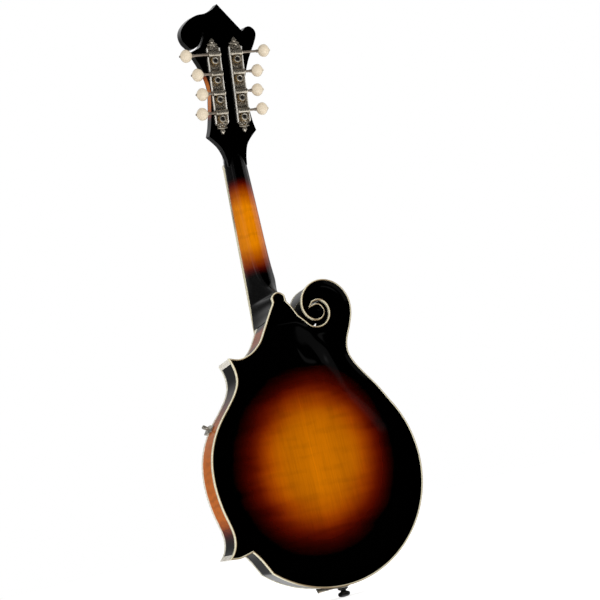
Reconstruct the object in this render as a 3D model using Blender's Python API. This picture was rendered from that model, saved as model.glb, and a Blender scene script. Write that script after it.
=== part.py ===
"""F-style (scroll) mandolin as an assembly of separate pieces.

+Z runs up the body and neck, the strings face -Y, the back plate faces +Y and the
treble side with the two points is +X.  The origin is the outer flat face of the end pin.
All sizes below are in millimetres; heights z are counted from the tail of the body.
"""
import bpy
import bmesh
import numpy as np
from math import sin, cos, tan, pi, radians, hypot, exp
from mathutils import Matrix, Vector
from mathutils.geometry import delaunay_2d_cdt

MM = 0.001
GAP = 0.3                    # clearance between pieces that touch

# body
PIN = 12.5                   # end pin stands this far out of the tail
SIDE = 22.5                  # half of the body's depth at the edge
EDGE = 4.0                   # thickness of both plates at the edge
BOUT_R = 126.4               # radius of the lower bout
BIND = 2.2                   # width of the binding
OVERHANG = 1.2               # plates stand out past the rim
RIM_T = 2.4                  # rim thickness
BACK_ARCH = 14.0
TOP_ARCH = 14.5
TOP_Z = 313.0                # neck joint, at fret 15
BLOCK_Z = 258.0              # lower face of the neck block

# neck
SCALE = 352.4                # scale length
NUT_S = 204.2                # nut above the joint, along the fingerboard
NECK_PITCH = radians(4.9)
HEAD_PITCH = radians(18.1)
BOARD_Y = -38.5              # face of the fingerboard at the joint
BOARD_T = 6.0
NUT_HALF = 14.3
JOINT_HALF = 18.4
HEAD_FRONT = 2.8             # veneer face behind the nut point
VENEER_T = 1.8
HEAD_BACK = 16.2

# machine heads
POST_X = 14.2
POST_S = (129.5, 106.3, 83.1, 59.9)
BUTTON_REACH = (35.6, 24.0, 21.2, 24.4)
WORM_OFFSET = 7.5            # worm axis to gear axis
WORM_OFF = 20.4              # worm axis behind the nut point
WORM_ROOT = 1.8
WORM_CREST = 2.8
TEETH = 14
GEAR_ROOT = 4.35
GEAR_TIP = 5.3
WORM_PITCH = 2 * pi * (WORM_OFFSET - 2.55) / TEETH

BRIDGE_Z = TOP_Z - (SCALE - NUT_S) * cos(NECK_PITCH)
STRING_X_NUT = (-11.5, -9.2, -4.6, -2.3, 2.3, 4.6, 9.2, 11.5)
STRING_X_BRIDGE = (-19.8, -17.2, -8.0, -5.4, 5.4, 8.0, 17.2, 19.8)
STRING_R = (0.5, 0.5, 0.33, 0.33, 0.21, 0.21, 0.2, 0.2)

# outline of the body, seen from the front: x to the treble side, z up from the tail
LOWER_POINT = (129.0, 58.8)
LOWER_NOTCH = (101.5, 60.5)
UPPER_POINT = (78.5, 277.2)
TREBLE_SHOULDER = (21.5, TOP_Z)
BASS_SHOULDER = (-18.0, TOP_Z)
UNDER_POINT = [LOWER_POINT, (118.0, 57.2), (110.0, 58.4), LOWER_NOTCH]
TREBLE_BOUT = [UPPER_POINT, (75.4, 268.0), (73.8, 257.5), (75.2, 247.0), (81.0, 236.0), (91.0, 223.5),
               (102.0, 211.0), (110.2, 200.0), (116.8, 188.5), (121.6, 177.0), (124.8, 165.5),
               (126.6, 153.0), (127.1, 140.0), (126.3, 126.0), (124.0, 110.5), (121.0, 98.0),
               (118.8, 87.5), (118.4, 79.0), (120.2, 70.5), (124.0, 63.8), LOWER_POINT]
TREBLE_CUTAWAY = [TREBLE_SHOULDER, (28.0, 302.5), (36.0, 290.0), (46.0, 280.8), (56.0, 275.8),
                  (66.5, 274.0), UPPER_POINT]
WAIST_AND_SCROLL = [(-95.5, 214.0), (-83.0, 232.0), (-74.0, 246.5), (-69.8, 259.5), (-72.2, 273.5),
                    (-80.0, 289.5), (-86.3, 305.5), (-87.6, 321.0), (-83.0, 335.0), (-73.2, 345.8),
                    (-60.0, 351.0), (-47.0, 350.2), (-36.2, 344.5), (-28.2, 334.5), (-25.2, 322.5),
                    (-29.0, 311.5), (-37.5, 304.8), (-46.0, 304.6), (-51.6, 309.4), (-52.0, 316.0),
                    (-47.2, 321.4), (-40.2, 322.4)]
SLIT_END = [(-37.2, 324.3), (-39.6, 327.2)]
SLIT_WALL = [(-47.5, 327.4), (-56.0, 321.0), (-59.0, 310.5), (-53.5, 300.5), (-43.0, 296.4),
             (-32.0, 298.4), (-23.8, 305.4), BASS_SHOULDER]
HEEL_BUTTON = [BASS_SHOULDER, (-12.0, 325.5), (-7.2, 332.5), (-7.6, 338.0), (-4.0, 342.4), (1.0, 344.0),
               (6.0, 342.4), (9.6, 338.0), (9.2, 332.5), (14.0, 325.0), TREBLE_SHOULDER]

# outline of the headstock: x to the treble side, s up from the nut
HEAD_TREBLE = [(12.6, 3.0), (13.4, 14.0), (17.2, 25.6), (23.8, 33.6), (32.2, 39.8)]
HEAD_TREBLE_EDGE = [(32.2, 39.8), (28.8, 51.0), (26.2, 66.0), (24.4, 81.0), (23.2, 94.5), (25.6, 108.5),
                    (31.2, 122.5), (36.8, 133.5), (40.6, 141.8)]
HEAD_SLOT = [(36.2, 143.8), (29.8, 147.0), (25.2, 154.4), (22.8, 161.8), (24.0, 164.6), (26.2, 160.6),
             (29.2, 154.6), (33.4, 150.2), (38.2, 147.6)]
HEAD_CURL = [(42.8, 147.0), (49.2, 153.6), (51.8, 162.0), (49.2, 170.4), (40.6, 179.0), (29.5, 184.6),
             (18.0, 186.4), (8.5, 190.6), (1.5, 196.6)]
HEAD_TIP_EDGE = [(1.5, 196.6), (-27.0, 162.6)]
HEAD_BASS_EDGE = [(-27.0, 162.6), (-32.0, 167.2), (-37.8, 167.6), (-43.0, 163.0), (-44.0, 156.5),
                  (-40.4, 147.2), (-35.4, 137.6), (-29.4, 125.0), (-24.2, 108.6), (-22.6, 94.5),
                  (-23.6, 73.5), (-26.2, 55.0), (-29.6, 42.6)]
HEAD_BASS = [(-29.6, 42.6), (-22.4, 34.6), (-16.6, 26.0), (-13.4, 14.0), (-12.6, 3.0)]


# ---------------------------------------------------------------- curves
def spline(points, step):
    """Smooth curve through the points, sampled about every step mm."""
    pts = [Vector(p) for p in points]
    ends = [pts[0] * 2 - pts[1]] + pts + [pts[-1] * 2 - pts[-2]]
    out = []
    for i in range(1, len(ends) - 2):
        p0, p1, p2, p3 = ends[i - 1:i + 3]
        count = max(1, round((p2 - p1).length / step))
        for k in range(count):
            t = k / count
            q = 2 * p1 + (p2 - p0) * t + (2 * p0 - 5 * p1 + 4 * p2 - p3) * t * t
            q = (q + (3 * p1 - p0 - 3 * p2 + p3) * t ** 3) * 0.5
            out.append((q[0], q[1]))
    return out


def arc(centre, radius, start, end, step):
    count = max(2, round(abs(radians(end - start)) * radius / step))
    turn = radians(end - start) / count
    first = radians(start)
    return [(centre[0] + radius * cos(first + turn * k), centre[1] + radius * sin(first + turn * k))
            for k in range(count)]


def ring(centre, radius, sides):
    return arc(centre, radius, 0, 360, 2 * pi * radius / sides)


def body_outline(step, with_button):
    """Closed outline of a plate's outer edge."""
    fine = step * 0.55
    line = arc((0, BOUT_R), BOUT_R, -48, -213, step)
    bout = [LOWER_NOTCH, (94.0, 50.2)] + line[:1]
    out = spline(bout, step) + line
    out += spline([line[-1]] + WAIST_AND_SCROLL, fine)[1:] + [WAIST_AND_SCROLL[-1]] + SLIT_END
    out += spline(SLIT_WALL, fine)
    out += spline(HEEL_BUTTON, fine) if with_button else [BASS_SHOULDER]
    out += spline(TREBLE_CUTAWAY, step)
    out += spline(TREBLE_BOUT, step)
    out += spline(UNDER_POINT, step)
    return out


def head_outline(step):
    out = spline(HEAD_TREBLE, step) + spline(HEAD_TREBLE_EDGE, step) + [HEAD_TREBLE_EDGE[-1]] + HEAD_SLOT
    out += spline(HEAD_CURL, step) + spline(HEAD_TIP_EDGE, 60)
    return out + spline(HEAD_BASS_EDGE, step) + spline(HEAD_BASS, step) + [HEAD_BASS[-1]]


def edge_distance(points, loop):
    """Distance from each point to a closed loop."""
    p = np.asarray(points, float)[:, None, :]
    a = np.asarray(loop, float)
    b = np.roll(a, -1, axis=0)
    ab = b - a
    t = ((p - a) * ab).sum(2) / np.maximum((ab * ab).sum(1), 1e-12)
    near = a + ab * np.clip(t, 0, 1)[:, :, None]
    return np.sqrt(((p - near) ** 2).sum(2)).min(1)


def inside(points, loop):
    p = np.asarray(points, float)
    a = np.asarray(loop, float)
    b = np.roll(a, -1, axis=0)
    x, z = p[:, 0:1], p[:, 1:2]
    spans = (a[:, 1] > z) != (b[:, 1] > z)
    rise = np.where(b[:, 1] == a[:, 1], 1e-12, b[:, 1] - a[:, 1])
    cross = x < (b[:, 0] - a[:, 0]) * (z - a[:, 1]) / rise + a[:, 0]
    return (spans & cross).sum(1) % 2 == 1


def inset(loop, depth):
    """The loop moved inwards by depth; points that would come nearer the loop are left out."""
    a = np.asarray(loop, float)
    area = (a[:, 0] * np.roll(a[:, 1], -1) - a[:, 1] * np.roll(a[:, 0], -1)).sum()
    side = 1.0 if area > 0 else -1.0
    out = []
    for i in range(len(a)):
        before = a[i] - a[i - 1]
        after = a[(i + 1) % len(a)] - a[i]
        before = before / hypot(*before)
        after = after / hypot(*after)
        n0 = np.array([-before[1], before[0]]) * side
        n1 = np.array([-after[1], after[0]]) * side
        mid = n0 + n1
        mid = mid / hypot(*mid)
        out.append(a[i] + mid * depth / max(0.3, mid @ n0))
    out = np.array(out)
    keep = (edge_distance(out, loop) > depth * 0.97) & inside(out, loop)
    return [tuple(q) for q in out[keep]]


def cut_loop(loop, axis, limit, keep_above):
    """The part of a loop on one side of a straight line."""
    out = []
    sign = 1 if keep_above else -1
    for i, p in enumerate(loop):
        q = loop[(i + 1) % len(loop)]
        dp = (p[axis] - limit) * sign
        dq = (q[axis] - limit) * sign
        if dp >= 0:
            out.append(p)
        if dp * dq < 0:
            t = dp / (dp - dq)
            out.append((p[0] + (q[0] - p[0]) * t, p[1] + (q[1] - p[1]) * t))
    return out


# ---------------------------------------------------------------- frames
def body(x, y, z):
    return Vector((x, y, z + PIN))


def neck_at(x, s, off):
    """A point s above the joint along the fingerboard and off behind its face."""
    y = BOARD_Y + s * sin(NECK_PITCH) + off * cos(NECK_PITCH)
    z = TOP_Z + s * cos(NECK_PITCH) - off * sin(NECK_PITCH)
    return body(x, y, z)


def head_at(x, s, off):
    """A point s above the nut along the headstock and off behind the nut point."""
    y = s * sin(HEAD_PITCH) + off * cos(HEAD_PITCH)
    z = s * cos(HEAD_PITCH) - off * sin(HEAD_PITCH)
    return neck_at(x, NUT_S, 0) + Vector((0, y, z))


# ---------------------------------------------------------------- solids
MATERIALS = {
    "dark_lacquer": ((0.010, 0.008, 0.008), 0.0, 0.12),
    "back_maple": ((0.30, 0.10, 0.012), 0.0, 0.12),
    "rim_maple": ((0.25, 0.10, 0.02), 0.0, 0.15),
    "spruce": ((0.50, 0.24, 0.06), 0.0, 0.2),
    "inner_wood": ((0.62, 0.45, 0.27), 0.0, 0.6),
    "ivoroid": ((0.86, 0.79, 0.58), 0.0, 0.3),
    "ebony": ((0.015, 0.013, 0.012), 0.0, 0.35),
    "nickel": ((0.75, 0.74, 0.71), 1.0, 0.22),
    "brass": ((0.72, 0.52, 0.22), 1.0, 0.28),
    "bone": ((0.85, 0.82, 0.72), 0.0, 0.35),
    "steel": ((0.60, 0.60, 0.60), 1.0, 0.3),
    "bronze": ((0.55, 0.34, 0.16), 1.0, 0.35),
    "black_plastic": ((0.012, 0.012, 0.013), 0.0, 0.25),
}


def material(name):
    mat = bpy.data.materials.get(name)
    if mat is None:
        colour, metallic, roughness = MATERIALS[name]
        mat = bpy.data.materials.new(name)
        mat.use_nodes = True
        shader = mat.node_tree.nodes["Principled BSDF"]
        shader.inputs["Base Color"].default_value = (*colour, 1.0)
        shader.inputs["Metallic"].default_value = metallic
        shader.inputs["Roughness"].default_value = roughness
        mat.diffuse_color = (*colour, 1.0)
    return mat


def make(name, verts, faces, mat, smooth=False, origin=None):
    """One mesh object from points in mm; the origin, if given, becomes the object's own."""
    shift = Vector(origin) if origin is not None else Vector((0, 0, 0))
    mesh = bpy.data.meshes.new(name)
    mesh.from_pydata([(Vector(v) - shift) * MM for v in verts], [], faces)
    bm = bmesh.new()
    bm.from_mesh(mesh)
    bmesh.ops.remove_doubles(bm, verts=bm.verts, dist=0.01 * MM)
    bmesh.ops.triangulate(bm, faces=bm.faces)
    bmesh.ops.recalc_face_normals(bm, faces=bm.faces)
    bm.to_mesh(mesh)
    bm.free()
    obj = bpy.data.objects.new(name, mesh)
    obj.location = shift * MM
    bpy.context.scene.collection.objects.link(obj)
    mesh.materials.append(material(mat))
    if smooth:
        mesh.shade_smooth()
    return obj


def sheet_data(outer, holes, extra, low, high, place):
    """Closed solid over a flat outline with holes, between two height functions."""
    loops = [outer] + holes
    coords = []
    edges = []
    for loop in loops:
        first = len(coords)
        coords += [Vector(p) for p in loop]
        edges += [(first + k, first + (k + 1) % len(loop)) for k in range(len(loop))]
    coords += [Vector(p) for p in extra]
    verts, _, tris = delaunay_2d_cdt(coords, edges, [], 0, 1e-5)[:3]
    flat = np.array([(v[0], v[1]) for v in verts])
    centres = np.array([flat[list(t)].mean(0) for t in tris])
    keep = inside(centres, outer)
    for hole in holes:
        keep &= ~inside(centres, hole)
    tris = [list(t) for t, k in zip(tris, keep) if k]
    used = sorted({v for t in tris for v in t})
    index = {v: k for k, v in enumerate(used)}
    tris = [[index[v] for v in t] for t in tris]
    count = len(used)
    bottom = [place(flat[v][0], flat[v][1], low(flat[v][0], flat[v][1])) for v in used]
    top = [place(flat[v][0], flat[v][1], high(flat[v][0], flat[v][1])) for v in used]
    sides = {}
    for t in tris:
        for k in range(3):
            a, b = t[k], t[(k + 1) % 3]
            if (b, a) in sides:
                del sides[(b, a)]
            else:
                sides[(a, b)] = True
    faces = [t[::-1] for t in tris] + [[v + count for v in t] for t in tris]
    faces += [[a, b, b + count, a + count] for a, b in sides]
    return bottom + top, faces


def on_body(x, z, y):
    return body(x, y, z)


def slab(name, outer, y0, y1, mat, holes=(), place=on_body, smooth=False):
    verts, faces = sheet_data(outer, list(holes), [], lambda x, z: y0, lambda x, z: y1, place)
    return make(name, verts, faces, mat, smooth)


def loft(rings):
    """Points and faces of a closed solid through rings of equal length."""
    n = len(rings[0])
    verts = [p for r in rings for p in r]
    faces = [list(range(n))[::-1], [len(verts) - n + k for k in range(n)]]
    for i in range(len(rings) - 1):
        for k in range(n):
            a, b = i * n + k, i * n + (k + 1) % n
            faces.append([a, b, b + n, a + n])
    return verts, faces


def turned(profile, sides, place):
    """Closed turned solid: profile of (along, radius), first and last on the axis."""
    verts = [place(profile[0][0], 0, 0)]
    for along, radius in profile[1:-1]:
        for k in range(sides):
            a = 2 * pi * k / sides
            verts.append(place(along, radius * cos(a), radius * sin(a)))
    verts.append(place(profile[-1][0], 0, 0))
    rows = len(profile) - 2
    last = len(verts) - 1
    faces = []
    for k in range(sides):
        n = (k + 1) % sides
        faces.append([0, 1 + k, 1 + n])
        for i in range(rows - 1):
            a = 1 + i * sides
            faces.append([a + k, a + k + sides, a + n + sides, a + n])
        faces.append([last, last - sides + n, last - sides + k])
    return verts, faces


def box_data(corner0, corner1, place):
    pts = [place(x, y, z) for x in (corner0[0], corner1[0]) for y in (corner0[1], corner1[1])
           for z in (corner0[2], corner1[2])]
    faces = [[0, 1, 3, 2], [4, 6, 7, 5], [0, 4, 5, 1], [2, 3, 7, 6], [0, 2, 6, 4], [1, 5, 7, 3]]
    return pts, faces


def combine(target, others, operation):
    """Boolean of the target with throw-away solids, applied to the mesh."""
    for other in others:
        mod = target.modifiers.new("combine", "BOOLEAN")
        mod.operation = operation
        mod.solver = "EXACT"
        mod.object = other
        graph = bpy.context.evaluated_depsgraph_get()
        mesh = bpy.data.meshes.new_from_object(target.evaluated_get(graph))
        target.modifiers.clear()
        target.data = mesh
    bm = bmesh.new()
    bm.from_mesh(target.data)
    bmesh.ops.remove_doubles(bm, verts=bm.verts, dist=0.01 * MM)
    bmesh.ops.dissolve_degenerate(bm, edges=bm.edges, dist=0.005 * MM)
    bmesh.ops.triangulate(bm, faces=bm.faces)
    bm.to_mesh(target.data)
    bm.free()
    for other in others:
        bpy.data.objects.remove(other)
    return target


# ---------------------------------------------------------------- arched plates
OUTLINE = body_outline(12.0, False)
BACK_OUTLINE = body_outline(12.0, True)
SCROLL_EYE = (-52.0, 318.0)


def ease(value, low, high):
    t = min(1.0, max(0.0, (value - low) / (high - low)))
    return t * t * (3 - 2 * t)


def arch(x, z, peak):
    """Height of a carved plate above its edge."""
    d = float(edge_distance([(x, z)], OUTLINE)[0])
    if z > TOP_Z and x > BASS_SHOULDER[0]:
        return 0.0
    long_fall = 1 - 0.42 * ((z - 158) / 165) ** 2
    side_fall = 1 - 0.30 * (x / BOUT_R) ** 2
    dome = peak * max(0.0, long_fall) * side_fall * ease(d, 5, 62)
    dip = -0.9 * exp(-((d - 9) / 6) ** 2)
    near_scroll = 1 - ease(hypot(x - SCROLL_EYE[0], z - SCROLL_EYE[1]), 38, 72)
    ridge = 3.4 * ease(d, 1, 11)
    return (dome + dip) * (1 - near_scroll) + ridge * near_scroll


def under(x, z, peak):
    """Height of a plate's inner face above the flat gluing edge."""
    return max(0.0, arch(x, z, peak) - 0.4) * 0.96


def field(loop, step, margin):
    """Evenly staggered points inside a loop, kept clear of its edge."""
    a = np.asarray(loop)
    x0, z0 = a.min(0)
    x1, z1 = a.max(0)
    pts = []
    row = 0
    z = z0 + step / 2
    while z < z1:
        x = x0 + (step / 2 if row % 2 else step)
        while x < x1:
            pts.append((x, z))
            x += step
        z += step * 0.866
        row += 1
    pts = np.array(pts)
    keep = inside(pts, loop) & (edge_distance(pts, loop) > margin)
    return [tuple(p) for p in pts[keep]]


F_PATH = [(47.0, 191.0), (47.5, 198.5), (53.0, 203.0), (59.5, 199.0), (62.6, 187.0), (64.2, 168.0),
          (66.2, 149.0), (70.0, 136.5), (77.0, 132.0), (83.0, 136.0), (83.8, 143.0)]
F_WIDTH = (1.6, 1.5, 1.6, 2.2, 2.9, 3.3, 2.9, 2.2, 1.6, 1.5, 1.6)


def f_hole(side, step):
    """Loops of one f-hole: the stem and its two round eyes."""
    path = spline(F_PATH, step) + [F_PATH[-1]]
    left, right = [], []
    for i, p in enumerate(path):
        q0 = path[max(0, i - 1)]
        q1 = path[min(len(path) - 1, i + 1)]
        run = hypot(q1[0] - q0[0], q1[1] - q0[1])
        nx, nz = -(q1[1] - q0[1]) / run, (q1[0] - q0[0]) / run
        t = i / (len(path) - 1) * (len(F_WIDTH) - 1)
        k = min(int(t), len(F_WIDTH) - 2)
        w = F_WIDTH[k] + (F_WIDTH[k + 1] - F_WIDTH[k]) * (t - k)
        left.append((side * (p[0] + nx * w), p[1] + nz * w))
        right.append((side * (p[0] - nx * w), p[1] - nz * w))
    upper = ring((side * (F_PATH[0][0] + 1.2), F_PATH[0][1] - 1.0), 5.0, 10)
    lower = ring((side * (F_PATH[-1][0] - 1.6), F_PATH[-1][1] + 1.0), 5.6, 10)
    return [left + right[::-1], upper, lower]


def build_plates():
    plate = inset(BACK_OUTLINE, BIND + GAP)
    extra = field(plate, 21.0, 8.0) + inset(inset(plate, 7.5), 1.0)[::2]
    verts, faces = sheet_data(plate, [], extra,
                              lambda x, z: SIDE - EDGE + under(x, z, BACK_ARCH),
                              lambda x, z: SIDE + arch(x, z, BACK_ARCH), on_body)
    make("back_plate", verts, faces, "back_maple", True)

    plate = inset(OUTLINE, BIND + GAP)
    holes = f_hole(1, 10.0) + f_hole(-1, 10.0)
    extra = field(plate, 21.0, 8.0) + inset(inset(plate, 7.5), 1.0)[::2]
    clear = [p for p in extra if min(edge_distance([p], h)[0] for h in holes) > 4.0]
    verts, faces = sheet_data(plate, holes, clear,
                              lambda x, z: -SIDE - arch(x, z, TOP_ARCH),
                              lambda x, z: -SIDE + EDGE - under(x, z, TOP_ARCH), on_body)
    make("soundboard", verts, faces, "spruce", True)

    slab("binding_back", BACK_OUTLINE, SIDE - EDGE, SIDE, "ivoroid", [inset(BACK_OUTLINE, BIND)])
    slab("binding_top", OUTLINE, -SIDE, -SIDE + EDGE, "ivoroid", [inset(OUTLINE, BIND)])


def build_frame():
    """Rim, blocks, linings and tone bars: all that lies between the two plates."""
    deep = SIDE - EDGE - GAP
    outer = inset(OUTLINE, OVERHANG)
    rim = slab("rim", outer, -deep, deep, "rim_maple", [inset(OUTLINE, OVERHANG + RIM_T)])
    bore = turned([(-3, 0), (-3, 4.4), (30, 4.4), (30, 0)], 12, lambda a, u, v: body(u, v, a))
    combine(rim, [make("cutter", *bore, "nickel")], "DIFFERENCE")

    inner = inset(OUTLINE, OVERHANG + RIM_T + GAP)
    block = cut_loop(cut_loop(inner, 1, BLOCK_Z, True), 0, 30.0, False)
    slab("neck_block", block, -deep, deep, "inner_wood")

    lining_h = 7.0
    strip_out = open_part(inner)
    strip_in = open_part(inset(OUTLINE, OVERHANG + RIM_T + GAP + 4.0))
    strip = strip_out + strip_in[::-1]
    slab("lining_back", strip, deep - lining_h, deep, "inner_wood")
    slab("lining_top", strip, -deep, lining_h - deep, "inner_wood")

    def tail(radius, half):
        pts = arc((0, BOUT_R), radius, -90 - half, -90 + half, 7.0)
        return pts + [(pts[-1][0] + 3, 25.0), (pts[0][0], 25.0)]

    reach = BOUT_R - OVERHANG - RIM_T - GAP
    block = slab("tail_block", tail(reach, 12), -deep + lining_h + GAP, deep - lining_h - GAP, "inner_wood")
    full = slab("cutter_a", tail(reach - 4.0 - GAP, 12), -deep, deep, "inner_wood")
    combine(block, [full], "UNION")
    combine(block, [make("cutter", *bore, "nickel")], "DIFFERENCE")

    for name, x_top, x_low in (("tone_bar_bass", -16.0, -30.0), ("tone_bar_treble", 20.0, 25.0)):
        rings = []
        for t in (0.0, 0.12, 0.3, 0.5, 0.7, 0.88, 1.0):
            z = 92 + (248 - 92) * t
            x = x_low + (x_top - x_low) * t
            face = -SIDE + EDGE + 0.9 - min(under(x + e, z, TOP_ARCH) for e in (-3, 0, 3))
            depth = 2.0 + 7.0 * min(1.0, 4 * min(t, 1 - t))
            rings.append([body(x - 3, face, z), body(x + 3, face, z), body(x + 1.5, face + depth, z),
                          body(x - 1.5, face + depth, z)])
        make(name, *loft(rings), "inner_wood")


def open_part(loop):
    """The stretch of a loop that runs round the hollow from one side of the neck block to the other."""
    keep = [(p[1] < BLOCK_Z - 2) or (p[0] > 33.0) for p in loop]
    start = next(i for i in range(len(loop)) if keep[i] and not keep[i - 1])
    return [loop[(start + k) % len(loop)] for k in range(sum(keep))]


# ---------------------------------------------------------------- neck
def neck_section(s, half, depth, count=9):
    """Rounded section of the neck's wood behind the fingerboard."""
    top = BOARD_T + GAP
    pts = [neck_at(-half, s, top), neck_at(half, s, top)]
    for k in range(1, count):
        a = pi * k / count
        pts.append(neck_at(half * cos(a) ** 1 if k else half, s, top + 2.0 + (depth - 2.0) * sin(a) ** 0.85))
    return pts


def half_width(s):
    return JOINT_HALF + (NUT_HALF - JOINT_HALF) * s / NUT_S


def behind_board(z):
    """Just behind the fingerboard's glued face at a height on the body."""
    return BOARD_Y + (BOARD_T + 1.0) / cos(NECK_PITCH) + (z - TOP_Z) * tan(NECK_PITCH)


def build_neck():
    stations = ((202.0, 13.6), (185.0, 13.4), (150.0, 13.8), (100.0, 14.8), (60.0, 15.8), (30.0, 17.5),
                (6.0, 20.5))
    neck = make("neck", *loft([neck_section(s, half_width(s) - 0.3, d) for s, d in stations]), "dark_lacquer", True)

    heel_rings = []
    for y, flare, waist, nose, tip in ((-30.8, 18.6, 18.4, 17.6, 366.0), (-22.0, 19.0, 17.6, 15.4, 362.0),
                                       (-12.0, 19.6, 15.8, 12.4, 354.0), (0.0, 20.0, 13.4, 9.6, 347.0),
                                       (12.0, 20.4, 12.2, 8.6, 344.0), (SIDE - EDGE - GAP, 20.6, 12.0, 8.4, 343.6)):
        base = TOP_Z + GAP
        mid = base + (tip - base) * 0.40
        far = base + (tip - base) * 0.72
        shoulder = -flare + 2.6
        section = [(shoulder, base), (flare, base), (waist + 0.6, mid), (nose + 0.8, far),
                   (nose * 0.7 + 0.8, tip - 2.6), (0.8, tip), (-nose * 0.7 + 0.8, tip - 2.6),
                   (-nose + 0.8, far), (-waist + 0.6, mid)]
        if y < -30:
            heel_rings.append([body(x, behind_board(z), z) for x, z in section])
        else:
            heel_rings.append([body(x, y, z) for x, z in section])
    heel = make("heel", *loft(heel_rings), "dark_lacquer")

    riser_top = BOARD_T + GAP
    riser = []
    for s, low in ((3.0, -23.2), (-30.0, -29.6), (-58.0, -33.4)):
        x = 15.0
        face = neck_at(x, s, riser_top)
        riser.append([neck_at(-x, s, riser_top), face, Vector((x, low, face.z)), Vector((-x, low, face.z))])
    riser = make("riser", *loft(riser), "dark_lacquer")

    outline = head_outline(11.0)
    verts, faces = sheet_data(outline, [], [], lambda x, s: HEAD_FRONT + VENEER_T + GAP,
                              lambda x, s: HEAD_BACK, head_at)
    slab_head = make("head", verts, faces, "dark_lacquer")
    throat = []
    for s, lift in ((199.0, 0.0), (207.0, 1.0), (212.0, 2.2)):
        half = 14.6
        front = BOARD_T + GAP + 0.6
        throat.append([neck_at(-half, s, front), neck_at(half, s, front), neck_at(half, s, front + 4),
                       neck_at(9, s, 18.8 - lift), neck_at(-9, s, 18.8 - lift), neck_at(-half, s, front + 4)])
    throat = make("throat", *loft(throat), "dark_lacquer")
    combine(neck, [heel, riser, throat, slab_head], "UNION")

    cutters = []
    rod = box_data((-3.2, -4.0, BOARD_T - 2), (3.2, 212.0, BOARD_T + 9.0), neck_at)
    cutters.append(make("cutter_rod", *rod, "nickel"))
    for side in (-1, 1):
        for k, s in enumerate(POST_S):
            hole = turned([(-4, 0), (-4, 3.5), (HEAD_BACK + 4, 3.5), (HEAD_BACK + 4, 0)], 10,
                          lambda a, u, v: head_at(side * POST_X + u, s + v, a))
            cutters.append(make("cutter_post", *hole, "nickel"))
    combine(neck, cutters, "DIFFERENCE")

    holes = [ring((side * POST_X, s), 3.5, 10) for side in (-1, 1) for s in POST_S]
    pocket = [(-4.0, 12.0), (4.0, 12.0), (4.6, 26.0), (0.0, 34.0), (-4.6, 26.0)]
    front = [(-15.4, 9.0), (15.4, 9.0)] + [p for p in outline if p[1] > 18.0]
    verts, faces = sheet_data(front, holes + [pocket], [],
                              lambda x, s: HEAD_FRONT, lambda x, s: HEAD_FRONT + VENEER_T, head_at)
    make("headstock_veneer", verts, faces, "dark_lacquer")

    rod = box_data((-2.4, 0.0, BOARD_T + 1.5), (2.4, 205.5, BOARD_T + 7.5), neck_at)
    make("truss_rod", *rod, "steel")
    cover = [(-7.0, 9.5), (7.0, 9.5), (8.0, 16.0), (7.2, 26.0), (3.4, 36.0), (0.0, 44.0), (-3.4, 36.0),
             (-7.2, 26.0), (-8.0, 16.0)]
    verts, faces = sheet_data(cover, [], [], lambda x, s: HEAD_FRONT - GAP - 1.6,
                              lambda x, s: HEAD_FRONT - GAP, head_at)
    make("truss_rod_cover", verts, faces, "black_plastic")

    board = [(-NUT_HALF, NUT_S - GAP), (NUT_HALF, NUT_S - GAP), (half_width(0), 0), (half_width(-66), -66),
             (14.0, -68.5), (8.5, -63.0), (2.5, -58.5), (-4.5, -58.0), (-10.0, -54.5), (-14.5, -50.0),
             (half_width(-49) * -1, -49), (-half_width(0), 0)]
    verts, faces = sheet_data(board, [], [], lambda x, s: 0.0, lambda x, s: BOARD_T, neck_at)
    make("fingerboard", verts, faces, "ebony")

    def nut_point(x, s, off):
        return neck_at(x, NUT_S + s, off)

    nut = [nut_point(x, s, off) for s, off in ((0, 5.2), (0, -1.6), (1.6, -1.6), (4.0, 0.4), (4.0, 3.4))
           for x in (-NUT_HALF, NUT_HALF)]
    faces = [[0, 2, 4, 6, 8], [1, 9, 7, 5, 3]]
    faces += [[2 * k, 2 * k + 1, (2 * k + 3) % 10, (2 * k + 2) % 10] for k in range(5)]
    make("nut", nut, faces, "bone")


# ---------------------------------------------------------------- machine heads
def worm_radius(i, j, columns):
    phase = ((i - j) % columns) / columns
    tooth = max(0.0, 1 - min(phase, 1 - phase) / 0.26)
    return WORM_ROOT + (WORM_CREST - WORM_ROOT) * tooth


def worm_rows(columns, turns):
    """Rows of radii for the threaded length; the thread dies out at both ends."""
    rows = []
    count = int(columns * turns)
    for i in range(-count // 2, count // 2 + 1):
        fade = 0.0 if abs(i) >= count // 2 else 1.0
        rows.append((i * WORM_PITCH / columns,
                     [WORM_ROOT + (worm_radius(i, j, columns) - WORM_ROOT) * fade for j in range(columns)]))
    return rows


def build_worm(name, side, s_gear, reach, phase):
    """Worm shaft: its axis runs along X beside the gear; turned grid with a thread."""
    columns = 7
    rows = [(-7.5, [1.5] * columns), (-4.4, [1.5] * columns), (-4.4 + 0.2, [WORM_ROOT] * columns)]
    rows += worm_rows(columns, 2.3)
    end = reach + 3.0
    rows += [(4.4, [WORM_ROOT] * columns), (4.6, [1.5] * columns), (end, [1.5] * columns)]
    rows = sorted(rows, key=lambda r: r[0])
    s_axis = s_gear + WORM_OFFSET

    def at(a, u, v):
        return head_at(side * (POST_X + a), s_axis + u, WORM_OFF + v)

    verts = []
    for a, radii in rows:
        for j in range(columns):
            turn = 2 * pi * (j / columns) + phase
            verts.append(at(a, radii[j] * cos(turn), radii[j] * sin(turn)))
    faces = [list(range(columns)), [len(verts) - columns + k for k in range(columns)][::-1]]
    for i in range(len(rows) - 1):
        for j in range(columns):
            a, b = i * columns + j, i * columns + (j + 1) % columns
            faces.append([a, a + columns, b + columns, b])
    make(name, verts, faces, "nickel", False, at(0, 0, 0))


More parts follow.
